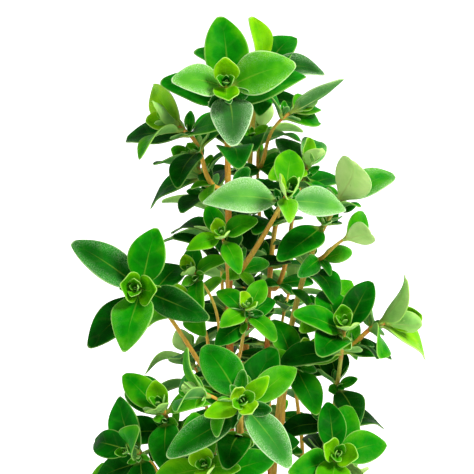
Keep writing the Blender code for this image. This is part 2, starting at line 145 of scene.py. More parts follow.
# %% The table of shoots
Shoot = namedtuple("Shoot", "name root tip facing pairs leaf spin thick")
SHOOTS = (
    # long stems
    Shoot("stem_top", (-1, 4), (-2, -1, 199), (0, 32), 12, 13.5, 0, 2.4),
    Shoot("stem_right", (6, 0), (22, 4, 174), (85, 52), 5, 12.5, 20, 2.0),
    Shoot("stem_front", (2, -7), (1, -41, 152), (3, 30), 9, 14.5, 34, 2.2),
    Shoot("stem_far_right", (14, -8), (21, -15, 154), (0, 60), 7, 12.5, 15, 1.6),
    Shoot("stem_left", (-9, -4), (-15, -19, 138), (-30, 60), 7, 12.5, 0, 2.0),
    Shoot("stem_back", (2, 11), (5, 26, 193), (20, 60), 11, 12, 0, 2.2),
    Shoot("stem_back_left", (-6, 9), (-9, 13, 177), (-90, 55), 11, 12, 75, 2.0),
    Shoot("stem_back_right", (9, 11), (10, 26, 166), (140, 65), 10, 12, 60, 2.0),
    # side shoots that face the front
    Shoot("shoot_left_rosette", ("stem_top", 0.48), (-19, -19, 164), (-12, 30), 4, 14.5, 72, 1.5),
    Shoot("shoot_centre_rosette", ("stem_top", 0.67), (10, -9, 180), (15, 45), 3, 14, 85, 1.8),
    Shoot("shoot_upper_left", ("stem_top", 0.80), (-13, 6, 188), (-80, 25), 4, 12.5, 75, 1.5),
    Shoot("shoot_heart", ("stem_top", 0.5), (2, -13, 157), (8, 62), 4, 8, 45, 1.3),
    Shoot("shoot_heart_high", ("stem_top", 0.6), (-3, -9, 171), (-10, 50), 3, 8, 20, 1.2),
    Shoot("shoot_mid_right", ("stem_right", 0.4), (19, 1, 150), (60, 40), 4, 12, 60, 1.4),
    Shoot("shoot_left_small", ("stem_top", 0.52), (-9, -7, 162), (-50, 50), 3, 8, 0, 1.2),
    Shoot("shoot_right_bud", ("stem_right", 0.87), (23, -3, 168), (90, 30), 2, 9.5, 30, 1.3),
    Shoot("shoot_right_wing", ("stem_far_right", 0.92), (31, -10, 152), (80, 5), 3, 13, 0, 1.4),
    Shoot("shoot_right_inner", ("stem_right", 0.5), (13, -10, 144), (30, 45), 4, 11, 30, 1.4),
    Shoot("shoot_low_right", ("stem_far_right", 0.42), (19, -34, 136), (10, 40), 4, 13, 75, 1.5),
    Shoot("shoot_low_left", ("stem_left", 0.6), (-21, -26, 132), (-35, 30), 4, 12, 0, 1.5),
    Shoot("shoot_front_small", ("stem_front", 0.915), (-8, -37, 152), (-80, 25), 3, 8.5, 30, 1.1),
    Shoot("shoot_front_low", ("stem_front", 0.5), (-6, -36, 135), (-15, 40), 4, 12, 10, 1.4),
    Shoot("shoot_upper_right", ("stem_back_right", 0.8), (15, 15, 176), (40, 60), 4, 12, 40, 1.5),
    Shoot("shoot_top_right", ("stem_back", 0.82), (13, 18, 187), (120, 15), 3, 12, 75, 1.4),
    Shoot("shoot_behind_left", ("stem_back_left", 0.55), (-11, 3, 150), (-60, 45), 3, 11, 0, 1.4),
    # side shoots that face the back
    Shoot("shoot_back_high", ("stem_back", 0.66), (5, 36, 176), (170, 45), 4, 12, 20, 1.4),
    Shoot("shoot_back_mid", ("stem_back", 0.5), (-5, 36, 158), (195, 35), 4, 13, 40, 1.4),
    Shoot("shoot_back_low", ("stem_back", 0.34), (2, 38, 138), (175, 35), 4, 13, 0, 1.4),
    Shoot("shoot_back_right_mid", ("stem_back_right", 0.5), (13, 32, 142), (150, 40), 4, 12, 50, 1.4),
    Shoot("shoot_back_left_low", ("stem_back_left", 0.4), (-11, 31, 124), (-150, 40), 4, 12, 20, 1.4),
    Shoot("shoot_back_foot", ("stem_back_right", 0.3), (8, 34, 120), (165, 35), 4, 12, 30, 1.4),
    # the low skirt of shoots over the rim
    Shoot("skirt_left", (-13, 2), (-33, -1, 102), (-85, 30), 5, 12, 45, 1.6),
    Shoot("skirt_front_left", (-10, -11), (-25, -24, 108), (-45, 35), 5, 12, 0, 1.6),
    Shoot("skirt_front", (-1, -15), (0, -35, 112), (0, 35), 5, 12, 30, 1.6),
    Shoot("skirt_front_right", (11, -15), (24, -27, 108), (45, 35), 5, 12, 60, 1.6),
    Shoot("skirt_right", (16, -1), (34, -4, 102), (88, 30), 5, 12, 20, 1.6),
    Shoot("skirt_back_right", (14, 13), (25, 23, 96), (135, 30), 5, 12, 45, 1.6),
    Shoot("skirt_back", (1, 17), (0, 35, 104), (180, 35), 5, 12, 10, 1.6),
    Shoot("skirt_back_left", (-12, 13), (-26, 22, 96), (-135, 30), 5, 12, 30, 1.6),
)
print(len(SHOOTS), "shoots")

# %% [markdown]
# Leaves stand by one rule for each pair: how far below the tip they sit, how far they open and
# how big they are. Some leaves stand otherwise, and the next table gives their lift, their swing
# round the stem and their share of the size. A leaf that would have grown into another turned
# aside instead, by one of a few settled ways.

# %% The rules for the leaves, and the leaves that stand otherwise
LEAF_WIDTH = 0.55
LEAF_CURL = 16.0
PAIR_SIZE = (0.44, 0.92, 1.0, 1.0, 0.96, 0.92, 0.88, 0.85, 0.8, 0.78, 0.75, 0.7)
PAIR_OPEN = (35.0, 66.0, 76.0, 78.0, 80.0, 84.0, 88.0, 90.0, 90.0, 92.0, 94.0, 96.0)
PAIR_BELOW_TIP = (0.09, 0.20, 0.38, 0.72, 1.5, 2.25, 2.95, 3.65, 4.35, 5.05, 5.75, 6.5)
ASIDE = ((0, 0, 1), (12, 0, 1), (-12, 0, 1), (0, 14, 1), (0, -14, 1), (22, 0, 1), (-22, 0, 0.9),
         (12, 18, 0.85), (12, -18, 0.85), (34, 0, 0.8), (20, 26, 0.7), (20, -26, 0.7), (44, 0, 0.6))
SET_LEAVES = {
    "stem_top": {(0, 0): (0, 5, 1), (0, 1): (-10, 5, 1), (1, 0): (15, 0, 0.9), (1, 1): (5, 15, 1.1),
                 (2, 0): (20, 5, 1.1), (2, 1): (15, 5, 1), (3, 0): (15, -15, 1),
                 (3, 1): (15, 15, 1.2), (4, 1): (25, 10, 1), (5, 0): (-30, -15, 0.9),
                 (7, 0): (50, -20, 1.2), (7, 1): (30, 10, 1.1), (8, 0): (5, 40, 1)},
    "stem_front": {(0, 0): (0, 0, 0.6), (0, 1): (0, 0, 0.7), (1, 0): (10, -10, 0.55),
                   (1, 1): (15, 10, 0.5), (2, 0): (-15, 0, 0.9), (2, 1): (-5, 5, 1),
                   (3, 0): (0, 0, 1.1), (3, 1): (-10, 10, 1), (4, 0): (25, -55, 1.3),
                   (4, 1): (40, -45, 1)},
    "stem_right": {(1, 0): (50, 15, 1.1), (1, 1): (30, 15, 1.2), (3, 0): (-30, 25, 1.1),
                   (3, 1): (-20, 50, 1.1)},
    "stem_far_right": {(0, 0): (10, 5, 0.9), (1, 0): (30, -15, 1), (1, 1): (15, 45, 1),
                       (2, 1): (30, -45, 1)},
    "stem_left": {(1, 0): (5, -50, 1), (2, 0): (0, 35, 1.1)},
    "stem_back": {(1, 0): (60, -40, 1.2), (1, 1): (0, 5, 1.2), (2, 0): (25, -35, 1.1),
                  (3, 0): (30, -20, 1.3), (3, 1): (-15, -5, 1)},
    "stem_back_left": {(1, 0): (30, -10, 1.1), (1, 1): (-10, 30, 1), (2, 0): (-5, 15, 1.1),
                       (3, 0): (10, 0, 1)},
    "shoot_left_rosette": {(0, 0): (15, 0, 1), (0, 1): (-10, 0, 1), (1, 0): (30, 0, 1),
                           (1, 1): (-10, -5, 0.9), (2, 0): (5, -25, 1.2), (2, 1): (10, -15, 1),
                           (3, 0): (20, -35, 1.1), (3, 1): (-40, -15, 0.8)},
    "shoot_centre_rosette": {(0, 0): (10, 20, 1), (0, 1): (25, -15, 0.9), (1, 0): (40, 10, 0.6),
                             (1, 1): (-30, 0, 0.9), (2, 0): (0, 15, 1.1), (2, 1): (-10, 10, 0.9)},
    "shoot_upper_left": {(0, 1): (10, 25, 1.2), (1, 0): (25, -10, 1.1), (1, 1): (30, 25, 1.1),
                         (2, 0): (25, -5, 1.2)},
    "shoot_heart": {(1, 1): (5, 20, 1)},
    "shoot_top_right": {(1, 0): (45, -25, 1.2), (1, 1): (25, -40, 1), (2, 1): (30, 30, 0.9)},
    "shoot_upper_right": {(0, 1): (25, -10, 1), (1, 1): (-15, 35, 1), (2, 0): (-5, -15, 1)},
    "shoot_right_bud": {(1, 0): (40, 40, 1.1), (1, 1): (15, 40, 1)},
    "shoot_right_wing": {(0, 0): (25, -15, 1.1), (0, 1): (30, -10, 1.1), (1, 0): (35, 5, 1.1),
                         (1, 1): (20, -5, 1.1), (2, 0): (0, -35, 1), (2, 1): (-10, -15, 0.9)},
    "shoot_low_right": {(1, 1): (-10, 25, 0.9), (2, 0): (35, 45, 0.9), (2, 1): (-15, 40, 0.9)},
    "shoot_low_left": {(1, 0): (-15, -35, 1), (1, 1): (50, 10, 1)},
    "shoot_front_small": {(1, 1): (25, 25, 1.1), (2, 0): (15, 10, 1), (2, 1): (55, -35, 1.2)},
}
AS_THE_RULE = (0, 0, 1)
print(sum(len(leaves) for leaves in SET_LEAVES.values()), "leaves stand otherwise")

# %% [markdown]
# ## The course of a shoot
# A stem could be drawn by hand as a curve object, but its leaves need a direction at every point
# of it. So the course is a smooth Bezier curve sampled evenly, and a side direction is carried
# down it from the tip without twisting, which is how a growing stem keeps its leaf pairs in line.

# %% Courses in millimetres
ROOT_HEIGHT = 55.0
SHOOT_RISE = 1.1


def direction(heading, pitch):
    """Unit vector for a heading round from the front and a pitch above the horizontal."""
    h, p = math.radians(heading), math.radians(pitch)
    return Vector((math.sin(h) * math.cos(p), -math.cos(h) * math.cos(p), math.sin(p)))


def bezier(points, t):
    a, b, c, d = points
    s = 1 - t
    return a * s**3 + b * (3 * s * s * t) + c * (3 * s * t * t) + d * t**3


def curve_points(start, way_out, tip, way_in, steps=48):
    """Evenly spaced points on a smooth curve that leaves along way_out and arrives along way_in."""
    reach = (tip - start).length
    handles = (start, start + way_out * reach * 0.35, tip - way_in * min(reach * 0.5, 26), tip)
    fine = [bezier(handles, i / 200) for i in range(201)]
    along = [0.0]
    for a, b in zip(fine, fine[1:]):
        along.append(along[-1] + (b - a).length)
    points = []
    j = 0
    for i in range(steps + 1):
        want = along[-1] * i / steps
        while j < 199 and along[j + 1] < want:
            j += 1
        span = along[j + 1] - along[j]
        points.append(fine[j].lerp(fine[j + 1], min(1.0, (want - along[j]) / span)))
    return points, along[-1]


def spot(points, share):
    """(place, tangent) at a share of a curve's length."""
    x = max(0.0, min(1.0, share)) * (len(points) - 1)
    i = min(int(x), len(points) - 2)
    return points[i].lerp(points[i + 1], x - i), (points[i + 1] - points[i]).normalized()


def sides_down(points, spin):
    """A side direction for each point, carried down from the tip without twisting."""
    tangent = (points[-1] - points[-2]).normalized()
    up_the_back = Vector((0, 0.96, 0.28))
    side = (up_the_back - tangent * up_the_back.dot(tangent)).normalized()
    side = Quaternion(tangent, math.radians(spin)) @ side
    sides = [side]
    for i in range(len(points) - 2, -1, -1):
        step = (points[i + 1] - points[i]).normalized()
        side = tangent.rotation_difference(step) @ side
        side = (side - step * side.dot(step)).normalized()
        tangent = step
        sides.append(side)
    return sides[::-1]


class Course:
    """A shoot's curve, the side directions along it, its thickness and where its pairs sit."""

    def __init__(self, shoot, others):
        self.shoot = shoot
        tip = Vector(shoot.tip)
        self.parent_place = None
        if isinstance(shoot.root[0], str):
            parent = others[shoot.root[0]]
            place, up = spot(parent.points, shoot.root[1])
            out = tip - place
            out = (out - up * out.dot(up)).normalized()
            clear = 0.75 * parent.thick_at(shoot.root[1]) + 0.6 * shoot.thick + 0.5
            start = place + out * clear
            way_out = (out + up * SHOOT_RISE).normalized()
            self.parent_place = place
        else:
            start = Vector((*shoot.root, ROOT_HEIGHT))
            lean = tip - start
            way_out = Vector((lean.x * 0.3, lean.y * 0.3, lean.z)).normalized()
        self.points, self.length = curve_points(start, way_out, tip, direction(*shoot.facing))
        self.sides = sides_down(self.points, shoot.spin)
        below = [PAIR_BELOW_TIP[i] * shoot.leaf for i in range(shoot.pairs)]
        self.pairs = [1 - d / self.length for d in below if d < self.length - 3]

    def thick_at(self, share):
        """The stem narrows to half its thickness at the tip."""
        return self.shoot.thick * (1 - 0.5 * max(0.0, min(1.0, share)))

    def frame_at(self, share):
        place, tangent = spot(self.points, share)
        i = min(len(self.sides) - 1, max(0, round(share * (len(self.sides) - 1))))
        side = self.sides[i]
        side = (side - tangent * side.dot(tangent)).normalized()
        return place, tangent, side, tangent.cross(side)


courses = {}
for shoot in SHOOTS:
    courses[shoot.name] = Course(shoot, courses)
print("the tallest course is", round(courses["stem_top"].length), "mm long")

# %% [markdown]
# ## Which leaves grew
# Each leaf is worked out in every way it may have turned aside, and the way that is kept is the
# one whose tip is a corner of the shoot's solid in the frame. A leaf with no such corner had no
# room to grow. So each finished leaf leaves its stem where the solid one does and points the
# same way. Its blade may then be broader, and the youngest pair is a little longer.

# %% Find every leaf of the frame
TIP_MATCH = 0.05


class Leaf:
    """One leaf: where it leaves the stem, the directions it keeps, its size and its looks."""

    def __init__(self, course, share, pair, which, aside):
        lift, swing, scale = aside
        own = SET_LEAVES.get(course.shoot.name, {}).get((pair, which), AS_THE_RULE)
        place, self.tangent, side, other = course.frame_at(share)
        out = side if pair % 2 == 0 else other
        if which:
            out = -out
        self.out = Quaternion(self.tangent, math.radians(swing + own[1])) @ out
        self.across = self.tangent.cross(self.out)
        self.angle = math.radians(PAIR_OPEN[pair] - lift - own[0])
        self.length = course.shoot.leaf * PAIR_SIZE[pair] * scale * own[2]
        self.base = place + self.out * course.thick_at(share) / 2
        self.key = (course.shoot.name, pair, which)

    def tip(self):
        bend = self.angle + math.radians(LEAF_CURL) * 0.5
        ahead = self.tangent * math.cos(bend) + self.out * math.sin(bend)
        return self.base + ahead * self.length


def leaves_of(course):
    """The leaves of one shoot that have a corner of the solid at their tip."""
    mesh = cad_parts[course.shoot.name].data
    corners = np.array([v.co for v in mesh.vertices]) / MM
    found = []
    for pair, share in enumerate(course.pairs):
        for which in (0, 1):
            for aside in ASIDE:
                leaf = Leaf(course, share, pair, which, aside)
                if np.linalg.norm(corners - np.array(leaf.tip()), axis=1).min() < TIP_MATCH:
                    found.append(leaf)
                    break
    return found


grown = {name: leaves_of(course) for name, course in courses.items()}
print(sum(len(leaves) for leaves in grown.values()), "leaves found in the frame")

# %% [markdown]
# ## The cage of a leaf
# A thyme leaf is a small thick blade on a short stalk: widest a little below its middle, bluntly
# pointed, folded along its midrib and rolled under at its margin. Hundreds of leaves are needed,
# so one cage of a few dozen faces is made once and bent to each leaf's own course afterwards.
# A grid is the natural start. Its rows are moved to the stations where the outline needs them
# and Solidify gives the blade its two sides. Four numbers stay with each corner: how far along
# and across the blade it is, how near the margin, and which side it is on.

# %% Make the cages
ROWS = (0, 0.07, 0.14, 0.23, 0.34, 0.46, 0.58, 0.70, 0.81, 0.92, 1.0)
COLUMNS = (-1, -0.84, -0.42, 0, 0.42, 0.84, 1)
SMALL_ROWS = (0, 0.1, 0.25, 0.45, 0.67, 0.87, 1.0)
SMALL_COLUMNS = (-1, -0.55, 0, 0.55, 1)
LAYERS = ("along", "across", "margin", "upper", "age", "tint", "frost", "woody", "knot")


def leaf_cage(rows, columns):
    """(mesh, numbers) of a flat leaf: x is across, y is along, and z is 0 above and -1 below."""
    bm = bmesh.new()
    for layer in LAYERS:
        bm.verts.layers.float.new(layer)
    bmesh.ops.create_grid(bm, x_segments=len(columns) - 1, y_segments=len(rows) - 1, size=1)
    for vert in bm.verts:
        column = columns[round((vert.co.x + 1) / 2 * (len(columns) - 1))]
        row = rows[round((vert.co.y + 1) / 2 * (len(rows) - 1))]
        vert.co = (column, row, 0)
    bmesh.ops.solidify(bm, geom=bm.faces[:], thickness=1)
    bmesh.ops.recalc_face_normals(bm, faces=bm.faces)
    mesh = bpy.data.meshes.new("leaf_cage")
    bm.to_mesh(mesh)
    bm.free()
    places = np.array([v.co for v in mesh.vertices])
    places[:, 2] -= places[:, 2].max()
    return mesh, places


full_cage = leaf_cage(ROWS, COLUMNS)
small_cage = leaf_cage(SMALL_ROWS, SMALL_COLUMNS)
print(len(full_cage[0].polygons), "faces in the full cage,", len(small_cage[0].polygons), "in the small")

# %% [markdown]
# ## Bending the cage to a leaf
# The outline, the arch of the midrib, the cup of the blade, the rolled margin and the ridge that
# the midrib makes underneath are all functions of the two leaf numbers. Every leaf also gets a
# small twist, sway and wave of its own from a seeded draw, because no two real leaves agree.

# %% Shape one leaf
STALK = 0.09
STALK_WIDTH = 0.075
BLADE_THICK = 0.34
LEAF_CUP = 0.2
LEAF_FOLD = 0.10
MARGIN_ROLL = 0.07


def ease(low, high, x):
    t = np.clip((x - low) / (high - low), 0, 1)
    return t * t * (3 - 2 * t)


def outline(t, blunt=0.75):
    """Half width of the blade as a share of its greatest, from the stalk (0) to the tip (1)."""
    return np.sin(np.pi * np.clip(t, 0, 1) ** 0.86) ** blunt


def leaf_shape(leaf, places, draw):
    """Where the corners of a cage go for this leaf, in millimetres."""
    v, s, low = places[:, 0], places[:, 1], places[:, 2]
    half = leaf.length * LEAF_WIDTH * leaf.broad / 2
    blade = (s - STALK) / (1 - STALK)
    tip_row = s > 0.999
    blade = np.where(tip_row, 0.975, np.minimum(blade, 0.975))
    width = half * np.maximum(outline(blade, leaf.blunt), STALK_WIDTH * (1 + 0.8 * (s < 0.03)))
    reach = np.where(tip_row, 0.985 + 0.015 * (1 - v * v), s)

    bend = leaf.angle + math.radians(LEAF_CURL) * (reach - 0.5) + leaf.recurve * ease(0.55, 1, reach)
    tangent, out, across = (np.array(d) for d in (leaf.tangent, leaf.out, leaf.across))
    ahead = np.cos(bend)[:, None] * tangent + np.sin(bend)[:, None] * out
    upper = np.sin(bend)[:, None] * tangent - np.cos(bend)[:, None] * out
    twist = draw.uniform(-0.2, 0.2) * (reach - 0.2) + leaf.roll * ease(0, 0.3, s)
    side = np.cos(twist)[:, None] * across + np.sin(twist)[:, None] * upper
    upper = np.cos(twist)[:, None] * upper - np.sin(twist)[:, None] * across

    sway = draw.uniform(-0.05, 0.05) * leaf.length * np.sin(np.pi * reach)
    wave_at = draw.uniform(0, 6.28)
    wave = draw.uniform(0.01, 0.035) * leaf.length * np.sin(7 * reach + wave_at + 1.2 * v) * v * v
    edge = np.abs(v)
    rise = LEAF_CUP * leaf.cup * width * edge**1.6 + LEAF_FOLD * width * edge
    rise = rise - MARGIN_ROLL * width * ease(0.8, 1, edge) + wave * ease(0.1, 0.4, s)
    thick = BLADE_THICK * np.interp(s, (0, 0.1, 0.3, 1), (2.0, 1.9, 1.0, 0.8)) * leaf.stout
    thick = thick + 0.35 * (1 - ease(0, 0.3, edge)) * (1 - s) * (low < -0.5) * leaf.stout
    middle = np.array(leaf.base) + ahead * (leaf.length * reach)[:, None] + across * sway[:, None]
    middle = middle - ahead * (0.5 * (s < 0.001))[:, None]
    return middle + side * (v * width)[:, None] + upper * (rise + low * thick + thick / 2)[:, None]


print("the blade is widest at", round(float(np.argmax(outline(np.linspace(0, 1, 101)))) / 100, 2))

# %% [markdown]
# ## The age of a leaf
# Young thyme leaves are lime green, full-grown ones are deep green, and the oldest are nearly
# black green. Some carry a silver bloom of fine hairs, and the bloom also paints a silver sheen on
# them. The age runs from 0 to 1 down a shoot, and a whole shoot may be fresher or darker than the
# rule. The leaves that catch the eye have an age, a bloom with its painted sheen and a breadth of
# their own, and three of them are rolled to one side. A painter would do the same: one rule for the
# mass of leaves, and a choice for each that shows.

# %% Ages, and bloom with painted sheen
PAIR_AGE = (0.2, 0.4, 0.55, 0.68, 0.8, 0.86, 0.9, 0.92, 0.94, 0.95, 0.96, 0.97)
SHOOT_AGE = {"stem_back_left": 0.2, "stem_back": 0.1, "stem_far_right": 0.12, "stem_left": 0.15,
             "shoot_low_left": 0.2, "shoot_top_right": 0.1, "shoot_upper_right": 0.0,
             "shoot_low_right": -0.05, "shoot_right_bud": -0.1}
# each entry is the leaf's age, its bloom of hairs with painted silver sheen, and its breadth
SET_LOOKS = {
    "stem_top": {(0, 0): (0.2, 0, 1), (0, 1): (0.34, 0, 1), (1, 0): (0.4, 0.75, 1.15),
                 (1, 1): (0.42, 0.4, 1.15), (2, 0): (0.58, 0, 1.1), (2, 1): (0.8, 0.8, 1.15)},
    "stem_back": {(1, 0): (0.2, 0, 0.9), (1, 1): (0.85, 0.6, 1)},
    "stem_right": {(1, 0): (0.04, 0.3, 1.3), (1, 1): (0.5, 0.6, 0.9)},
    "stem_front": {(1, 0): (0.25, 0, 1), (1, 1): (0.3, 0, 1), (2, 0): (0.6, 0.1, 1.1),
                   (2, 1): (0.58, 0.8, 0.8), (3, 0): (0.64, 0.4, 0.75), (3, 1): (0.44, 0.1, 0.75),
                   (4, 0): (0.82, 0, 0.9), (4, 1): (0.88, 0, 0.9)},
    "stem_far_right": {(1, 1): (0.88, 0, 1)},
    "shoot_left_rosette": {(0, 0): (0.42, 0, 1.1), (0, 1): (0.42, 0, 1.1), (1, 0): (0.54, 0.1, 1.15),
                           (1, 1): (0.62, 0, 1.25), (2, 0): (0.76, 0.4, 0.8),
                           (2, 1): (0.88, 0.1, 0.8), (3, 0): (0.95, 0, 0.9)},
    "shoot_centre_rosette": {(1, 0): (0.3, 0.3, 1.1), (1, 1): (0.42, 0, 1), (2, 0): (0.46, 1, 0.9),
                             (2, 1): (0.46, 1, 0.95)},
    "shoot_upper_left": {(0, 1): (0.35, 0, 1), (1, 1): (0.2, 0.2, 1), (2, 0): (0.85, 0.1, 1),
                         (3, 0): (0.92, 0, 1)},
    "shoot_right_wing": {(0, 0): (0.3, 0, 1), (0, 1): (0.3, 0, 1), (1, 0): (0.26, 0, 1),
                         (1, 1): (0.16, 0.3, 1.1)},
    "shoot_right_bud": {(1, 0): (0.1, 0.3, 1), (1, 1): (0.52, 0, 1)},
    "shoot_low_left": {(1, 0): (0.85, 0, 1)},
    "shoot_low_right": {(0, 0): (0.22, 0, 1), (0, 1): (0.28, 0, 1), (1, 1): (0.78, 0, 1)},
    "shoot_upper_right": {(1, 1): (0.6, 0.6, 1), (2, 0): (0.7, 0.6, 1)},
    "shoot_top_right": {(1, 0): (0.6, 0.5, 1)},
}
SET_ROLL = {("shoot_top_right", 1, 0): 66, ("stem_right", 1, 0): 20, ("shoot_left_rosette", 2, 0): 22}
YOUNG_CUP = 2.0
BUD_CUP = {"stem_top": 2.2, "shoot_left_rosette": 2.2, "stem_front": 1.0, "shoot_centre_rosette": 1.0}


def dress(leaf, draw):
    """Gives a leaf its age, tint and bloom of hairs with painted sheen, and how it differs in shape from
    its neighbours.
    """
    name, pair, which = leaf.key
    age = PAIR_AGE[pair] + SHOOT_AGE.get(name, 0) + draw.uniform(-0.07, 0.07)
    by_rule = (min(1.0, max(0.0, age)), draw.uniform(0.0, 0.05), draw.uniform(0.94, 1.12))
    leaf.age, leaf.frost, leaf.broad = SET_LOOKS.get(name, {}).get((pair, which), by_rule)
    leaf.tint = draw.uniform(0, 1)
    leaf.blunt = draw.uniform(0.6, 0.78)
    leaf.roll = math.radians(SET_ROLL.get(leaf.key, draw.uniform(-10, 10)))
    leaf.cup = draw.uniform(0.7, 1.3)
    leaf.recurve = math.radians(draw.uniform(0, 12))
    leaf.stout = 1.0
    if pair == 0:
        leaf.broad *= 1.42
        leaf.length *= 1.12
        leaf.blunt = 0.6
        leaf.cup = BUD_CUP.get(name, YOUNG_CUP)
        leaf.recurve = math.radians(-14)


for name, leaves in grown.items():
    for leaf in leaves:
        dress(leaf, random.Random("dress %s %d %d" % leaf.key))
print("leaf ages run to", round(max(leaf.age for ls in grown.values() for leaf in ls), 2))

# %% [markdown]
# ## Bud leaves and leaflets
# The heart of each rosette holds pairs of tiny leaves that haven't opened. Lower down, a thyme
# stem has small tufts of leaflets in the angle above many of its leaves, and a collar of leaves
# where a side shoot leaves its parent. All are too fine for the solid model, so they are added
# here with a lighter cage. They are placed by rule and draw, and some cross a leaf nearby.

# %% Add the small leaves
BUD_PAIRS = ((0.3, 30, 1), (0.2, 18, 0), (0.11, 8, 1))
TUFT_SHARE = 0.85
COLLAR_LEAVES = ((80, 1, 62), (-80, 1, 62), (0, 0.7, 48))
TUFT_LEAVES = ((90, 1, 46), (-90, 0.92, 46), (0, 0.62, 18), (180, 0.55, 18))


class Leaflet:
    """A small leaf that leaves a place in a direction of its own."""

    def __init__(self, key, base, tangent, out, angle, length):
        self.key = key
        self.base = base
        self.tangent = tangent
        self.out = (out - tangent * out.dot(tangent)).normalized()
        self.across = self.tangent.cross(self.out)
        self.angle = math.radians(angle)
        self.length = length
        self.broad = 1.15
        self.blunt = 0.6
        self.cup = YOUNG_CUP
        self.roll = 0.0
        self.recurve = -0.25
        self.stout = 0.7
        self.age = 0.1
        self.tint = 0.5
        self.frost = 0.2


def bud_of(course):
    """The unopened pairs at the tip, each a quarter turn round from the last."""
    buds = []
    name = course.shoot.name
    draw = random.Random("bud " + name)
    place, tangent, side, other = course.frame_at(1.0)
    cup = BUD_CUP.get(name, draw.uniform(1.1, 2.0))
    for k, (size, angle, odd) in enumerate(BUD_PAIRS):
        for which in (0, 1):
            out = (other if odd else side) * (-1 if which else 1)
            base = place + out * course.thick_at(1) * 0.18 + tangent * 0.25 * k
            bud = Leaflet((name, "bud", k, which), base, tangent, out,
                          angle + draw.uniform(-6, 6), size * course.shoot.leaf)
            bud.cup = cup
            bud.age = 0.4 + 0.06 * k + draw.uniform(-0.06, 0.06)
            bud.frost = 0.05
            buds.append(bud)
    return buds


def tufts_of(course, leaves):
    """Pairs of leaflets in the angle between the stem and some of its full-grown leaves."""
    tufts = []
    for leaf in leaves:
        draw = random.Random("tuft %s %d %d" % leaf.key)
        if leaf.key[1] < 2 or draw.random() > TUFT_SHARE:
            continue
        heart = (leaf.tangent * 0.75 + leaf.out * 0.65).normalized()
        base = leaf.base + leaf.tangent * 0.7
        size = draw.uniform(4.0, 6.8) if leaf.key[0].startswith("stem") else draw.uniform(3.0, 5.0)
        turn = draw.uniform(-30, 30)
        fresh = draw.uniform(0.2, 0.7)
        for k, (around, share, angle) in enumerate(TUFT_LEAVES):
            out = Quaternion(heart, math.radians(around + turn)) @ leaf.out
            tuft = Leaflet((*leaf.key, k), base, heart, out, angle + draw.uniform(-8, 8), size * share)
            tuft.age = fresh + 0.1 * draw.random()
            tuft.cup = draw.uniform(1.0, 2.0)
            tuft.broad = draw.uniform(0.85, 1.1)
            tuft.frost = draw.uniform(0.1, 0.4)
            tufts.append(tuft)
    return tufts


def collar_of(course):
    """The leaves round the joint where a side shoot leaves its parent."""
    if course.parent_place is None:
        return []
    draw = random.Random("collar " + course.shoot.name)
    start, tangent = spot(course.points, 0.06)
    out = (course.points[0] - course.parent_place).normalized()
    collar = []
    for around, share, angle in COLLAR_LEAVES:
        turned_out = Quaternion(tangent, math.radians(around + draw.uniform(-15, 15))) @ out
        leaf = Leaflet((course.shoot.name, "collar", around), start, tangent, turned_out,
                       angle + draw.uniform(-12, 12), share * draw.uniform(5.0, 8.0))
        leaf.age = draw.uniform(0.35, 0.9)
        leaf.cup = 1.0
        leaf.recurve = 0.15
        leaf.broad = draw.uniform(0.9, 1.1)
        collar.append(leaf)
    return collar


small = {}
for name, course in courses.items():
    small[name] = bud_of(course) + tufts_of(course, grown[name]) + collar_of(course)
print(sum(len(leaflets) for leaflets in small.values()), "bud leaves and leaflets")

# %% [markdown]
# ## The stem
# A thyme stem is square with rounded corners and a shallow groove down each side, and it swells
# a little at each pair of leaves. It starts as a circle of eight corners at the root, whose edge
# is extruded ring by ring along the course. A side shoot starts inside its parent stem, so the
# two meet with no gap. The skin carries two numbers for its colour: how woody it is, from green
# to tan bark, and how near a leaf pair, where thyme stems turn reddish brown.

# %% Grow a stem
RING_STEP = 1.6
CORNER_OUT = 1.12
SIDE_IN = 0.9
KNOT_SWELL = 0.22
KNOT_REACH = 1.0
SIDE_SLIM = 0.78
WOODY = {"stem_top": 1.0, "stem_right": 0.42, "stem_front": 0.85, "stem_far_right": 0.2,
         "stem_left": 0.9, "stem_back": 0.8, "stem_back_left": 0.95, "stem_back_right": 0.8}


def stem_rings(course):
    """(share, nearness of a leaf pair) for each ring, closest together where the stem swells."""
    steps = max(6, round(course.length / RING_STEP))
    shares = [i / steps for i in range(steps + 1)]
    rings = []
    for share in shares:
        away_mm = min(abs(share - pair) * course.length for pair in course.pairs)
        rings.append((share, math.exp(-((away_mm / KNOT_REACH) ** 2))))
    return rings


def ring_places(course, share, knot):
    place, tangent, side, other = course.frame_at(share)
    slim = 1.0 if course.parent_place is None else SIDE_SLIM
    half = course.thick_at(share) / 2 * slim * (1 + KNOT_SWELL * knot)
    places = []
    for i in range(8):
        turn = math.radians(45 * i)
        out = half * (CORNER_OUT if i % 2 else SIDE_IN)
        places.append(place + (side * math.cos(turn) + other * math.sin(turn)) * out)
    return places


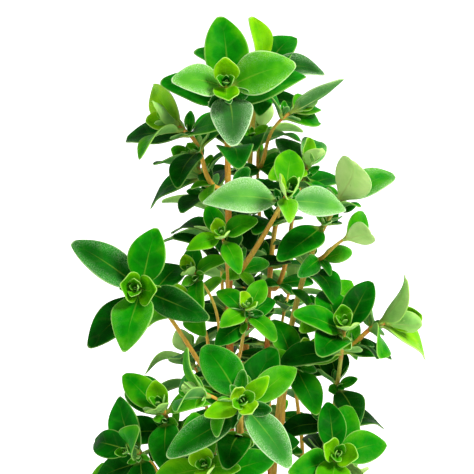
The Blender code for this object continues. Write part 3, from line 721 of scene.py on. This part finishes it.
def grow_stem(bm, course):
    """Extrudes the stem of one shoot into the bmesh."""
    woody, knot_layer = bm.verts.layers.float["woody"], bm.verts.layers.float["knot"]
    along = bm.verts.layers.float["along"]
    ring = bmesh.ops.create_circle(bm, segments=8, radius=1, cap_ends=False)["verts"]
    rings = stem_rings(course)
    if course.parent_place is not None:
        first = [p - course.points[0] + course.parent_place for p in ring_places(course, 0, 0)]
    else:
        first = ring_places(course, 0, 0)
    wood = WOODY.get(course.shoot.name, 0.45 if course.shoot.name.startswith("skirt") else 0.42)
    stations = [(first, 0.0, 0.0)]
    stations += [(ring_places(course, share, knot), share, knot) for share, knot in rings]
    foot = None
    for k, (places, share, knot) in enumerate(stations):
        if k:
            edges = [bm.edges.get((ring[i], ring[(i + 1) % 8])) for i in range(8)]
            made = bmesh.ops.extrude_edge_only(bm, edges=edges)["geom"]
            fresh = [g for g in made if isinstance(g, bmesh.types.BMVert)]
            ring = [min(fresh, key=lambda v, c=old.co.copy(): (v.co - c).length_squared) for old in ring]
        for vert, spot_mm in zip(ring, places):
            vert.co = spot_mm * MM
            vert[woody] = wood * (1 - share**3)
            vert[knot_layer] = knot
            vert[along] = share * course.length
        if not k:
            foot = ring
    place, tangent = course.points[-1], (course.points[-1] - course.points[-2]).normalized()
    lid = bm.faces.new(ring)
    floor_face = bm.faces.new(foot[::-1])
    crown = bmesh.ops.poke(bm, faces=[lid])["verts"][0]
    crown.co = (place + tangent * course.thick_at(1) * 0.4) * MM
    return floor_face


print("rings on the tallest stem:", len(stem_rings(courses["stem_top"])))

# %% [markdown]
# ## Leaf blade material
# The blade is living tissue with a waxy skin: a soft gloss above, matt and paler below. The eye
# sees the age of the leaf first, then the pale midrib, the margin lightened partly by its own pale
# edge and partly by a painted glow of light through it, the sunken side veins, the puckers between
# them and a frost of fine hairs that also carries a painted silver sheen. A leaf with the fullest
# bloom also has a pale veil of painted sheen over it. Light goes a little way into a leaf, so the
# shader scatters some of it there.

# %% Make the leaf material
HAIR_SPACING = 0.15 * MM
PUCKER_SIZE = 1.1 * MM
GLAND_SPACING = 0.55 * MM
DRIFT_SIZE = 3.2 * MM
VEIN_PAIRS = 4.0
VEIN_PALE = 0.012
RIB_PALE = 0.24
STALK_PALE = 0.75
SHEEN_VEIL_POWER = 4.0
LEAF_BUMP = 0.12 * MM


def read(tree, name):
    return add(tree, "Attribute", {"attribute_name": name}).outputs["Fac"]


def blend_colour(tree, share, a, b, mode="MIX"):
    """A Mix node's colour: a where share is 0, b where it is 1."""
    node = add(tree, "Mix", {"data_type": "RGBA", "blend_type": mode}, i0=share, i6=a, i7=b)
    return node.outputs[2]


def make_leaf_material():
    material, tree, shader = new_material("thyme_leaf_blade")
    along, across, margin = (read(tree, n) for n in ("along", "across", "margin"))
    upper, age, tint, frost = (read(tree, n) for n in ("upper", "age", "tint", "frost"))
    place = add(tree, "TexCoord").outputs["Object"]

    # age, with a slow drift over the blade so that no leaf is one even green
    drift = add(tree, "TexNoise", Vector=place, Scale=1 / DRIFT_SIZE, Detail=2.0).outputs["Fac"]
    drifted = add(tree, "Math", {"operation": "MULTIPLY_ADD"}, i0=drift, i1=0.44, i2=-0.17)
    young_edge = add(tree, "MapRange", {"interpolation_type": "SMOOTHSTEP"}, Value=margin,
                     From_Min=0.3, From_Max=0.95, To_Max=-0.12).outputs["Result"]
    uneven = add(tree, "Math", {"operation": "ADD"}, i0=drifted.outputs[0], i1=young_edge)
    aged = add(tree, "Math", {"operation": "ADD", "use_clamp": True}, i0=age, i1=uneven.outputs[0])
    top = add(tree, "ValToRGB", {"stops": (
        (0.0, "#A2D212"), (0.2, "#78C004"), (0.4, "#469E02"), (0.6, "#0C8001"),
        (0.8, "#015C01"), (1.0, "#013C01"))}, Fac=aged.outputs[0]).outputs["Color"]
    below = add(tree, "ValToRGB", {"stops": (
        (0.0, "#C6E68C"), (0.3, "#96CC66"), (0.6, "#4E9040"), (1.0, "#285E2A"))},
        Fac=aged.outputs[0]).outputs["Color"]

    # each leaf a little warmer or cooler than the next
    warm = blend_colour(tree, tint, linear("#E6F6D2"), linear("#FFF6A4"))
    top = blend_colour(tree, 0.6, top, warm, "MULTIPLY")

    # side veins leave the midrib at a slant and curve towards the tip
    wide = add(tree, "Math", {"operation": "ABSOLUTE"}, i0=across).outputs[0]
    slant = add(tree, "Math", {"operation": "MULTIPLY_ADD"}, i0=wide, i1=-0.2, i2=along).outputs[0]
    count = add(tree, "Math", {"operation": "MULTIPLY"}, i0=slant, i1=VEIN_PAIRS * 6.2832).outputs[0]
    wave = add(tree, "Math", {"operation": "SINE"}, i0=count).outputs[0]
    vein = add(tree, "MapRange", {"interpolation_type": "SMOOTHSTEP"}, Value=wave,
               From_Min=0.72, From_Max=1.0).outputs["Result"]
    inside = add(tree, "MapRange", {"interpolation_type": "SMOOTHSTEP"}, Value=wide,
                 From_Min=0.95, From_Max=0.6).outputs["Result"]
    vein = add(tree, "Math", {"operation": "MULTIPLY"}, i0=vein, i1=inside).outputs[0]

    # the midrib is widest and palest at the stalk and fades out past the middle
    rib_width = add(tree, "MapRange", Value=along, From_Min=0.05, From_Max=0.85,
                    To_Min=0.09, To_Max=0.018).outputs["Result"]
    rib = add(tree, "Math", {"operation": "DIVIDE"}, i0=wide, i1=rib_width).outputs[0]
    rib = add(tree, "MapRange", {"interpolation_type": "SMOOTHSTEP"}, Value=rib,
              From_Min=1.0, From_Max=0.25).outputs["Result"]
    fade = add(tree, "MapRange", {"interpolation_type": "SMOOTHSTEP"}, Value=along,
               From_Min=0.9, From_Max=0.3).outputs["Result"]
    rib_shown = add(tree, "Math", {"operation": "MULTIPLY"}, i0=rib, i1=fade).outputs[0]

    # painted glow: the margin is lightened, partly its own pale hairy edge and partly painted light
    # shining through the thin blade, more on young and bloomed leaves
    rim = add(tree, "MapRange", {"interpolation_type": "SMOOTHSTEP"}, Value=margin,
              From_Min=0.91, From_Max=1.0).outputs["Result"]
    rim_glow_share = add(tree, "Math", {"operation": "MULTIPLY_ADD"}, i0=age, i1=-0.4, i2=0.62).outputs[0]
    rim_glow_share = add(tree, "Math", {"operation": "MULTIPLY_ADD", "use_clamp": True},
               i0=frost, i1=0.6, i2=rim_glow_share).outputs[0]
    rim = add(tree, "Math", {"operation": "MULTIPLY"}, i0=rim, i1=rim_glow_share).outputs[0]
    stalk = add(tree, "MapRange", {"interpolation_type": "SMOOTHSTEP"}, Value=along,
                From_Min=0.2, From_Max=0.04).outputs["Result"]

    rib_share = add(tree, "Math", {"operation": "MULTIPLY"}, i0=rib_shown, i1=RIB_PALE).outputs[0]
    top = blend_colour(tree, rib_share, top, linear("#9CC83C"))
    vein_share = add(tree, "Math", {"operation": "MULTIPLY"}, i0=vein, i1=VEIN_PALE).outputs[0]
    top = blend_colour(tree, vein_share, top, linear("#B4D86A"))
    below = blend_colour(tree, rib_shown, below, linear("#B4D078"))
    skin = blend_colour(tree, upper, below, top)
    rim_glow_colour = blend_colour(tree, frost, linear("#B4DC70"), linear("#CDE8BE"))
    skin = blend_colour(tree, rim, skin, rim_glow_colour)
    stalk_share = add(tree, "Math", {"operation": "MULTIPLY"}, i0=stalk, i1=STALK_PALE).outputs[0]
    skin = blend_colour(tree, stalk_share, skin, linear("#A8BC4C"))

    # the frost of hairs, partly the real white hairs and partly a painted silver sheen: pale grains
    # where the leaf has bloom, thickest near the margin
    hairs = add(tree, "TexNoise", Vector=place, Scale=1 / HAIR_SPACING, Detail=1.0, Roughness=0.7)
    grain = add(tree, "MapRange", Value=hairs.outputs["Fac"],
                From_Min=0.46, From_Max=0.72).outputs["Result"]
    near = add(tree, "MapRange", Value=margin, From_Min=0.35, From_Max=0.95,
               To_Min=0.04, To_Max=1.0).outputs["Result"]
    hair_and_sheen = add(tree, "Math", {"operation": "MULTIPLY"}, i0=grain, i1=near).outputs[0]
    hair_and_sheen = add(tree, "Math", {"operation": "MULTIPLY"}, i0=hair_and_sheen, i1=frost).outputs[0]
    # painted sheen: the leaves with the fullest bloom get an even pale veil over them, a painted silver
    # sheen that grows towards the margin
    full = add(tree, "Math", {"operation": "POWER"}, i0=frost, i1=SHEEN_VEIL_POWER).outputs[0]
    sheen_veil = add(tree, "MapRange", Value=margin, From_Min=0.2, From_Max=0.95,
               To_Min=0.12, To_Max=0.34).outputs["Result"]
    sheen_veil = add(tree, "Math", {"operation": "MULTIPLY"}, i0=full, i1=sheen_veil).outputs[0]
    skin = blend_colour(tree, sheen_veil, skin, linear("#A8D096"))
    skin = blend_colour(tree, hair_and_sheen, skin, linear("#C6E2BA"))

    # gland pits and puckers for the surface to catch light
    glands = add(tree, "TexVoronoi", Vector=place, Scale=1 / GLAND_SPACING).outputs["Distance"]
    pucker = add(tree, "TexNoise", Vector=place, Scale=1 / PUCKER_SIZE, Detail=1.0).outputs["Fac"]
    height = add(tree, "Math", {"operation": "MULTIPLY_ADD"}, i0=vein, i1=-0.35, i2=pucker).outputs[0]
    height = add(tree, "Math", {"operation": "MULTIPLY_ADD"}, i0=rib, i1=-1.0, i2=height).outputs[0]
    height = add(tree, "Math", {"operation": "MULTIPLY_ADD"}, i0=glands, i1=0.25, i2=height).outputs[0]
    height = add(tree, "Math", {"operation": "MULTIPLY_ADD"}, i0=grain, i1=0.35, i2=height).outputs[0]
    bump = add(tree, "Bump", Height=height, Strength=0.55, Distance=LEAF_BUMP)

    gloss = add(tree, "MapRange", Value=upper, To_Min=0.62, To_Max=0.44).outputs["Result"]
    gloss = add(tree, "Math", {"operation": "MULTIPLY_ADD"}, i0=hair_and_sheen, i1=0.25, i2=gloss).outputs[0]
    tree.links.new(skin, shader.inputs["Base Color"])
    tree.links.new(gloss, shader.inputs["Roughness"])
    tree.links.new(bump.outputs["Normal"], shader.inputs["Normal"])
    shader.inputs["IOR"].default_value = 1.42
    shader.inputs["Specular IOR Level"].default_value = 0.04
    shader.inputs["Subsurface Weight"].default_value = 0.12
    shader.inputs["Subsurface Radius"].default_value = (0.3, 1.0, 0.1)
    shader.inputs["Subsurface Scale"].default_value = 0.6 * MM
    return material


leaf_blade = make_leaf_material()
print("leaf material:", len(leaf_blade.node_tree.nodes), "nodes")

# %% [markdown]
# ## Stem skin material
# A young stem is pale green and downy. With age it turns golden, then orange brown, with thin
# brown fibres along it, and each joint is redder than the rest. A noise stretched along Z draws
# the fibres, which is simple and serves because most stems stand nearly upright.

# %% Make the stem material
FIBRE_WIDTH = 0.35 * MM


def make_stem_material():
    material, tree, shader = new_material("thyme_stem_bark")
    woody, knot = read(tree, "woody"), read(tree, "knot")
    place = add(tree, "TexCoord").outputs["Object"]
    drift = add(tree, "TexNoise", Vector=place, Scale=1 / (5 * MM), Detail=3.0).outputs["Fac"]
    drift = add(tree, "Math", {"operation": "MULTIPLY_ADD"}, i0=drift, i1=0.5, i2=-0.25).outputs[0]
    ripe = add(tree, "Math", {"operation": "ADD", "use_clamp": True}, i0=woody, i1=drift).outputs[0]
    skin = add(tree, "ValToRGB", {"stops": (
        (0.0, "#A9BC46"), (0.2, "#D0B844"), (0.42, "#DCA232"), (0.7, "#D88226"), (1.0, "#C45E1C"))},
        Fac=ripe)
    skin = skin.outputs["Color"]
    red = add(tree, "Math", {"operation": "MULTIPLY"}, i0=knot, i1=0.7).outputs[0]
    skin = blend_colour(tree, red, skin, linear("#CC4E18"))
    fine = 1 / FIBRE_WIDTH
    stretched = add(tree, "Mapping", Vector=place, Scale=(fine, fine, 0.12 * fine))
    fibre = add(tree, "TexNoise", Vector=stretched.outputs["Vector"], Scale=1.0,
                Detail=2.0).outputs["Fac"]
    dark = add(tree, "MapRange", Value=fibre, From_Min=0.5, From_Max=0.72, To_Max=0.32).outputs["Result"]
    skin = blend_colour(tree, dark, skin, linear("#6E4A22"), "MULTIPLY")
    down = add(tree, "TexNoise", Vector=place, Scale=1 / (0.22 * MM), Detail=1.0).outputs["Fac"]
    down = add(tree, "MapRange", Value=down, From_Min=0.56, From_Max=0.7, To_Max=0.3).outputs["Result"]
    skin = blend_colour(tree, down, skin, linear("#EEDC98"))
    height = add(tree, "Math", {"operation": "ADD"}, i0=fibre, i1=down).outputs[0]
    bump = add(tree, "Bump", Height=height, Strength=0.6, Distance=0.12 * MM)
    tree.links.new(skin, shader.inputs["Base Color"])
    tree.links.new(bump.outputs["Normal"], shader.inputs["Normal"])
    shader.inputs["Roughness"].default_value = 0.62
    shader.inputs["Specular IOR Level"].default_value = 0.3
    return material


stem_bark = make_stem_material()
print("stem material:", len(stem_bark.node_tree.nodes), "nodes")

# %% [markdown]
# ## Put the sprigs together
# Each shoot becomes one piece, as it grew: its stem and all its leaves in one mesh with two
# materials. The cage is copied in once for each leaf, its corners go to their bent places, and
# one level of Subdivision Surface rounds the blade and its margin.

# %% Build the sprigs
def add_leaf(bm, leaf, cage, seed):
    """Copies a cage into the bmesh and bends it to the leaf."""
    mesh, places = cage
    before = len(bm.verts)
    first_face = len(bm.faces)
    bm.from_mesh(mesh)
    bm.verts.ensure_lookup_table()
    bm.faces.ensure_lookup_table()
    layers = [bm.verts.layers.float[name] for name in LAYERS[:7]]
    shaped = leaf_shape(leaf, places, random.Random(seed))
    edge = np.maximum(np.abs(places[:, 0]), ease(0.8, 1.0, places[:, 1]))
    for k, vert in enumerate(bm.verts[before:]):
        vert.co = Vector(shaped[k]) * MM
        numbers = (places[k, 1], places[k, 0], edge[k], float(places[k, 2] > -0.5),
                   leaf.age, leaf.tint, leaf.frost)
        for layer, number in zip(layers, numbers):
            vert[layer] = number
    for face in bm.faces[first_face:]:
        face.material_index = 0


def build_sprig(name, course):
    bm = bmesh.new()
    for layer in LAYERS:
        bm.verts.layers.float.new(layer)
    grow_stem(bm, course)
    for face in bm.faces:
        face.material_index = 1
    for leaf in grown[name]:
        add_leaf(bm, leaf, full_cage, "shape %s %d %d" % leaf.key)
    for leaflet in small[name]:
        add_leaf(bm, leaflet, small_cage, "shape " + " ".join(map(str, leaflet.key)))
    bmesh.ops.recalc_face_normals(bm, faces=bm.faces)
    piece = show(name + "_sprig", bm, (leaf_blade, stem_bark), name)
    rounding = piece.modifiers.new("rounding", "SUBSURF")
    rounding.levels = 1
    rounding.render_levels = 1
    return piece


sprigs = [build_sprig(name, course) for name, course in courses.items()]
print(len(sprigs), "sprigs,", sum(len(s.data.polygons) for s in sprigs), "faces before rounding")

# %% [markdown]
# ## The pot
# A terracotta pot is thrown or pressed from red clay and fired without glaze. It is a turned
# shape, so its outline is spun about the upright axis and its edges are eased with a bevel.

# %% Turn the pot
POT_HEIGHT = 77.0
RIM_RADIUS = 48.0
UNDER_RIM = 57.0
WALL_TOP = 45.4
FOOT_RADIUS = 32.0
FLOOR_TOP = 5.0
DRAIN_RADIUS = 6.0
INNER_TOP = 42.1
INNER_FOOT = 28.58
INNER_MIDWAY = (INNER_TOP - 3.57, 58)
RIM_MIDWAY = (RIM_RADIUS - 0.5, 67)
POT_STEPS = 120
EDGE_EASE = 1.1
FIRING_CLOUD = 22 * MM
SAND_GRAIN = 0.5 * MM
LIME_PATCH = 9 * MM
THROWING_RING = 24 * MM


def turned(outline_mm, steps, closed):
    """Spins an outline of (radius, height) about Z. An open outline starts and ends on the axis."""
    bm = bmesh.new()
    verts = [bm.verts.new(Vector((r, 0, z)) * MM) for r, z in outline_mm]
    edges = [bm.edges.new(pair) for pair in zip(verts, verts[1:])]
    if closed:
        edges.append(bm.edges.new((verts[-1], verts[0])))
    bmesh.ops.spin(bm, geom=verts + edges, cent=(0, 0, 0), axis=(0, 0, 1), angle=2 * math.pi,
                   steps=steps, use_merge=True, use_duplicate=False)
    bmesh.ops.remove_doubles(bm, verts=bm.verts, dist=1e-6)
    bmesh.ops.recalc_face_normals(bm, faces=bm.faces)
    return bm


def build_pot():
    wall = [(FOOT_RADIUS + (WALL_TOP - FOOT_RADIUS) * t, UNDER_RIM * t) for t in (0, 0.25, 0.5, 0.75, 1)]
    rim = [(RIM_RADIUS - 1.0, UNDER_RIM), RIM_MIDWAY, (RIM_RADIUS, POT_HEIGHT)]
    inside = [(INNER_TOP, POT_HEIGHT), INNER_MIDWAY, (INNER_FOOT, FLOOR_TOP)]
    bm = turned([(DRAIN_RADIUS, 0), *wall, *rim, *inside, (DRAIN_RADIUS, FLOOR_TOP)], POT_STEPS, True)
    sharp = [e for e in bm.edges if len(e.link_faces) == 2 and e.calc_face_angle() > math.radians(40)]
    bmesh.ops.bevel(bm, geom=sharp, offset=EDGE_EASE * MM, affect="EDGES", segments=4,
                    profile=0.5, material=-1)
    return bm


def make_terracotta():
    """Unglazed red earthenware: matt, sandy, with darker firing clouds and pale lime bloom."""
    material, tree, shader = new_material("terracotta_unglazed")
    place = add(tree, "TexCoord").outputs["Object"]
    cloud = add(tree, "TexNoise", Vector=place, Scale=1 / FIRING_CLOUD, Detail=4.0, Roughness=0.6)
    clay = add(tree, "ValToRGB", {"stops": (
        (0.3, "#A4532F"), (0.5, "#BC6840"), (0.72, "#C97C54"))},
        Fac=cloud.outputs["Fac"]).outputs["Color"]
    sand = add(tree, "TexNoise", Vector=place, Scale=1 / SAND_GRAIN, Detail=2.0).outputs["Fac"]
    dark = add(tree, "MapRange", Value=sand, From_Min=0.6, From_Max=0.72, To_Max=0.5).outputs["Result"]
    clay = blend_colour(tree, dark, clay, linear("#7C3B20"))
    light = add(tree, "MapRange", Value=sand, From_Min=0.4, From_Max=0.28, To_Max=0.5).outputs["Result"]
    clay = blend_colour(tree, light, clay, linear("#DDA27C"))
    lime = add(tree, "TexNoise", Vector=place, Scale=1 / LIME_PATCH, Detail=6.0, Roughness=0.7)
    lime = add(tree, "MapRange", {"interpolation_type": "SMOOTHSTEP"}, Value=lime.outputs["Fac"],
               From_Min=0.55, From_Max=0.75, To_Max=0.35).outputs["Result"]
    clay = blend_colour(tree, lime, clay, linear("#E3CDBB"))
    rings = add(tree, "TexWave", {"bands_direction": "Z"}, Vector=place, Scale=1 / THROWING_RING,
                Distortion=1.5, Detail=2.0).outputs["Fac"]
    height = add(tree, "Math", {"operation": "MULTIPLY_ADD"}, i0=rings, i1=1.2, i2=sand).outputs[0]
    bump = add(tree, "Bump", Height=height, Strength=0.5, Distance=0.25 * MM)
    tree.links.new(clay, shader.inputs["Base Color"])
    tree.links.new(bump.outputs["Normal"], shader.inputs["Normal"])
    shader.inputs["Roughness"].default_value = 0.88
    shader.inputs["Specular IOR Level"].default_value = 0.3
    return material


pot = show("pot_body", build_pot(), (make_terracotta(),), "pot")
print("the pot has", len(pot.data.polygons), "faces")

# %% [markdown]
# ## The soil
# Potting compost is dark, crumbly and never flat. A turned bed gives the surface enough corners
# to push up and down by fractal noise, and loose crumbs of peat, bark and white grit are strewn
# over it as small rough stones of twenty faces each.

# %% Make the soil
SOIL_TOP = 67.0
SOIL_MOUND = 1.5
SOIL_LOW = 5.4
SOIL_STEPS = 150
SOIL_RINGS = 38
CRUMBS = 900
GRITS = 90
LUMP_WIDE = 7.5
LUMP_HIGH = 0.9
GRAIN_WIDE = 2.2
GRAIN_HIGH = 0.45


def soil_radius(z):
    return INNER_FOOT + (INNER_TOP - INNER_FOOT) * (z - FLOOR_TOP) / (POT_HEIGHT - FLOOR_TOP) - 0.3


def soil_height(x, y):
    """The lumpy top of the compost, in millimetres."""
    r = math.hypot(x, y)
    flat = SOIL_TOP + SOIL_MOUND * (1 - min(1.0, (r / 40) ** 2))
    lump = noise.fractal(Vector((x, y, 0)) / LUMP_WIDE, 1.0, 2.1, 4)
    grain = noise.fractal(Vector((x, y, 9)) / GRAIN_WIDE, 1.0, 2.1, 3)
    return flat + LUMP_HIGH * lump + GRAIN_HIGH * grain


def build_soil_bed():
    edge = soil_radius(SOIL_TOP)
    top = [(edge * k / SOIL_RINGS, SOIL_TOP) for k in range(SOIL_RINGS + 1)]
    bm = turned([*top, (soil_radius(SOIL_LOW), SOIL_LOW), (0, SOIL_LOW)], SOIL_STEPS, False)
    for vert in bm.verts:
        x, y, z = vert.co / MM
        if z > SOIL_TOP - 1:
            vert.co.z = soil_height(x, y) * MM
    bmesh.ops.recalc_face_normals(bm, faces=bm.faces)
    return bm


def build_crumbs(count, low, high, seed, flat):
    """Small rough stones strewn over the bed, a third of each sunk into it."""
    bm = bmesh.new()
    draw = random.Random(seed)
    for _ in range(count):
        r = (soil_radius(SOIL_TOP) - 1.5) * math.sqrt(draw.random())
        turn = draw.uniform(0, 2 * math.pi)
        x, y = r * math.cos(turn), r * math.sin(turn)
        size = low + (high - low) * draw.random() ** 2
        place = Matrix.Translation(Vector((x, y, soil_height(x, y) + size * 0.15)) * MM)
        axis = Vector((draw.gauss(0, 1), draw.gauss(0, 1), draw.gauss(0, 1)))
        spin = Matrix.Rotation(draw.uniform(0, 6), 4, axis)
        sides = (draw.uniform(0.8, 1.5), draw.uniform(0.6, 1.0), draw.uniform(flat, 0.8), 1)
        squeeze = Matrix.Diagonal(sides)
        stone = bmesh.ops.create_icosphere(bm, subdivisions=1, radius=size / 2 * MM)["verts"]
        for vert in stone:
            vert.co *= draw.uniform(0.75, 1.2)
        bmesh.ops.transform(bm, matrix=place @ spin @ squeeze, verts=stone)
    bmesh.ops.recalc_face_normals(bm, faces=bm.faces)
    return bm


def make_compost(name, stops, rough):
    material, tree, shader = new_material(name)
    place = add(tree, "TexCoord").outputs["Object"]
    patch = add(tree, "TexNoise", Vector=place, Scale=1 / (1.6 * MM), Detail=6.0, Roughness=0.7)
    colour = add(tree, "ValToRGB", {"stops": stops}, Fac=patch.outputs["Fac"]).outputs["Color"]
    fine = add(tree, "TexNoise", Vector=place, Scale=1 / (0.5 * MM), Detail=3.0).outputs["Fac"]
    bump = add(tree, "Bump", Height=fine, Strength=0.8, Distance=0.3 * MM)
    tree.links.new(colour, shader.inputs["Base Color"])
    tree.links.new(bump.outputs["Normal"], shader.inputs["Normal"])
    shader.inputs["Roughness"].default_value = rough
    return material


peat = make_compost("potting_compost", ((0.3, "#1B110B"), (0.55, "#3A271A"), (0.75, "#5A4030")), 0.95)
bark = make_compost("bark_crumbs", ((0.3, "#2A1A10"), (0.5, "#4B3321"), (0.7, "#7A5A3C")), 0.9)
perlite = make_compost("perlite_grit", ((0.3, "#CFC9BC"), (0.55, "#E9E5DA"), (0.75, "#F6F4EE")), 0.85)
bed = show("soil_bed", build_soil_bed(), (peat,), "soil")
crumbs = show("soil_crumbs", build_crumbs(CRUMBS, 0.7, 3.0, 11, 0.5), (bark,), "soil")
grit = show("soil_grit", build_crumbs(GRITS, 0.8, 2.2, 12, 0.6), (perlite,), "soil")
for piece in (crumbs, grit):
    piece.data.shade_flat()
print("soil faces:", len(bed.data.polygons), "and", len(crumbs.data.polygons), "of crumbs")

# %% [markdown]
# ## The studio
# A white table with one large lamp up to the right and a weaker one to the left. The sky looks
# white but lights the plant less than it looks, so that the lamp still models the leaves.

# %% Floor and lights
SKY_LIGHT = 0.42
SKY_SEEN = 1.0
bm = bmesh.new()
bmesh.ops.create_grid(bm, x_segments=8, y_segments=8, size=6)
floor_mesh = bpy.data.meshes.new("floor")
bm.to_mesh(floor_mesh)
bm.free()
floor = bpy.data.objects.new("floor", floor_mesh)
bpy.context.scene.collection.objects.link(floor)
paper, tree, shader = new_material("white_paper")
shader.inputs["Base Color"].default_value = linear("#F6F6F4")
shader.inputs["Roughness"].default_value = 0.9
shader.inputs["Specular IOR Level"].default_value = 0.1
shader.inputs["Emission Color"].default_value = linear("#FFFFFF")
shader.inputs["Emission Strength"].default_value = 0.6
floor_mesh.materials.append(paper)


def lamp(name, place, aim, size, watts, colour):
    data = bpy.data.lights.new(name, "AREA")
    data.shape = "DISK"
    data.size = size
    data.energy = watts
    data.color = linear(colour)[:3]
    light = bpy.data.objects.new(name, data)
    bpy.context.scene.collection.objects.link(light)
    light.location = place
    light.rotation_euler = (Vector(aim) - Vector(place)).to_track_quat("-Z", "Y").to_euler()


lamp("key", (0.55, -0.25, 0.95), (0, 0, 0.15), 0.35, 13.0, "#FFFEFA")
lamp("fill", (-0.7, -0.7, 0.6), (0, 0, 0.15), 0.8, 3.0, "#FFFFFF")
world = bpy.data.worlds.new("studio")
bpy.context.scene.world = world
world.use_nodes = True
tree = world.node_tree
seen_directly = add(tree, "LightPath").outputs["Is Camera Ray"]
strength = add(tree, "MapRange", Value=seen_directly, To_Min=SKY_LIGHT, To_Max=SKY_SEEN)
tree.nodes["Background"].inputs["Color"].default_value = linear("#FFFFFF")
tree.links.new(strength.outputs["Result"], tree.nodes["Background"].inputs["Strength"])
bpy.context.scene.view_settings.view_transform = "Standard"
print("studio ready")
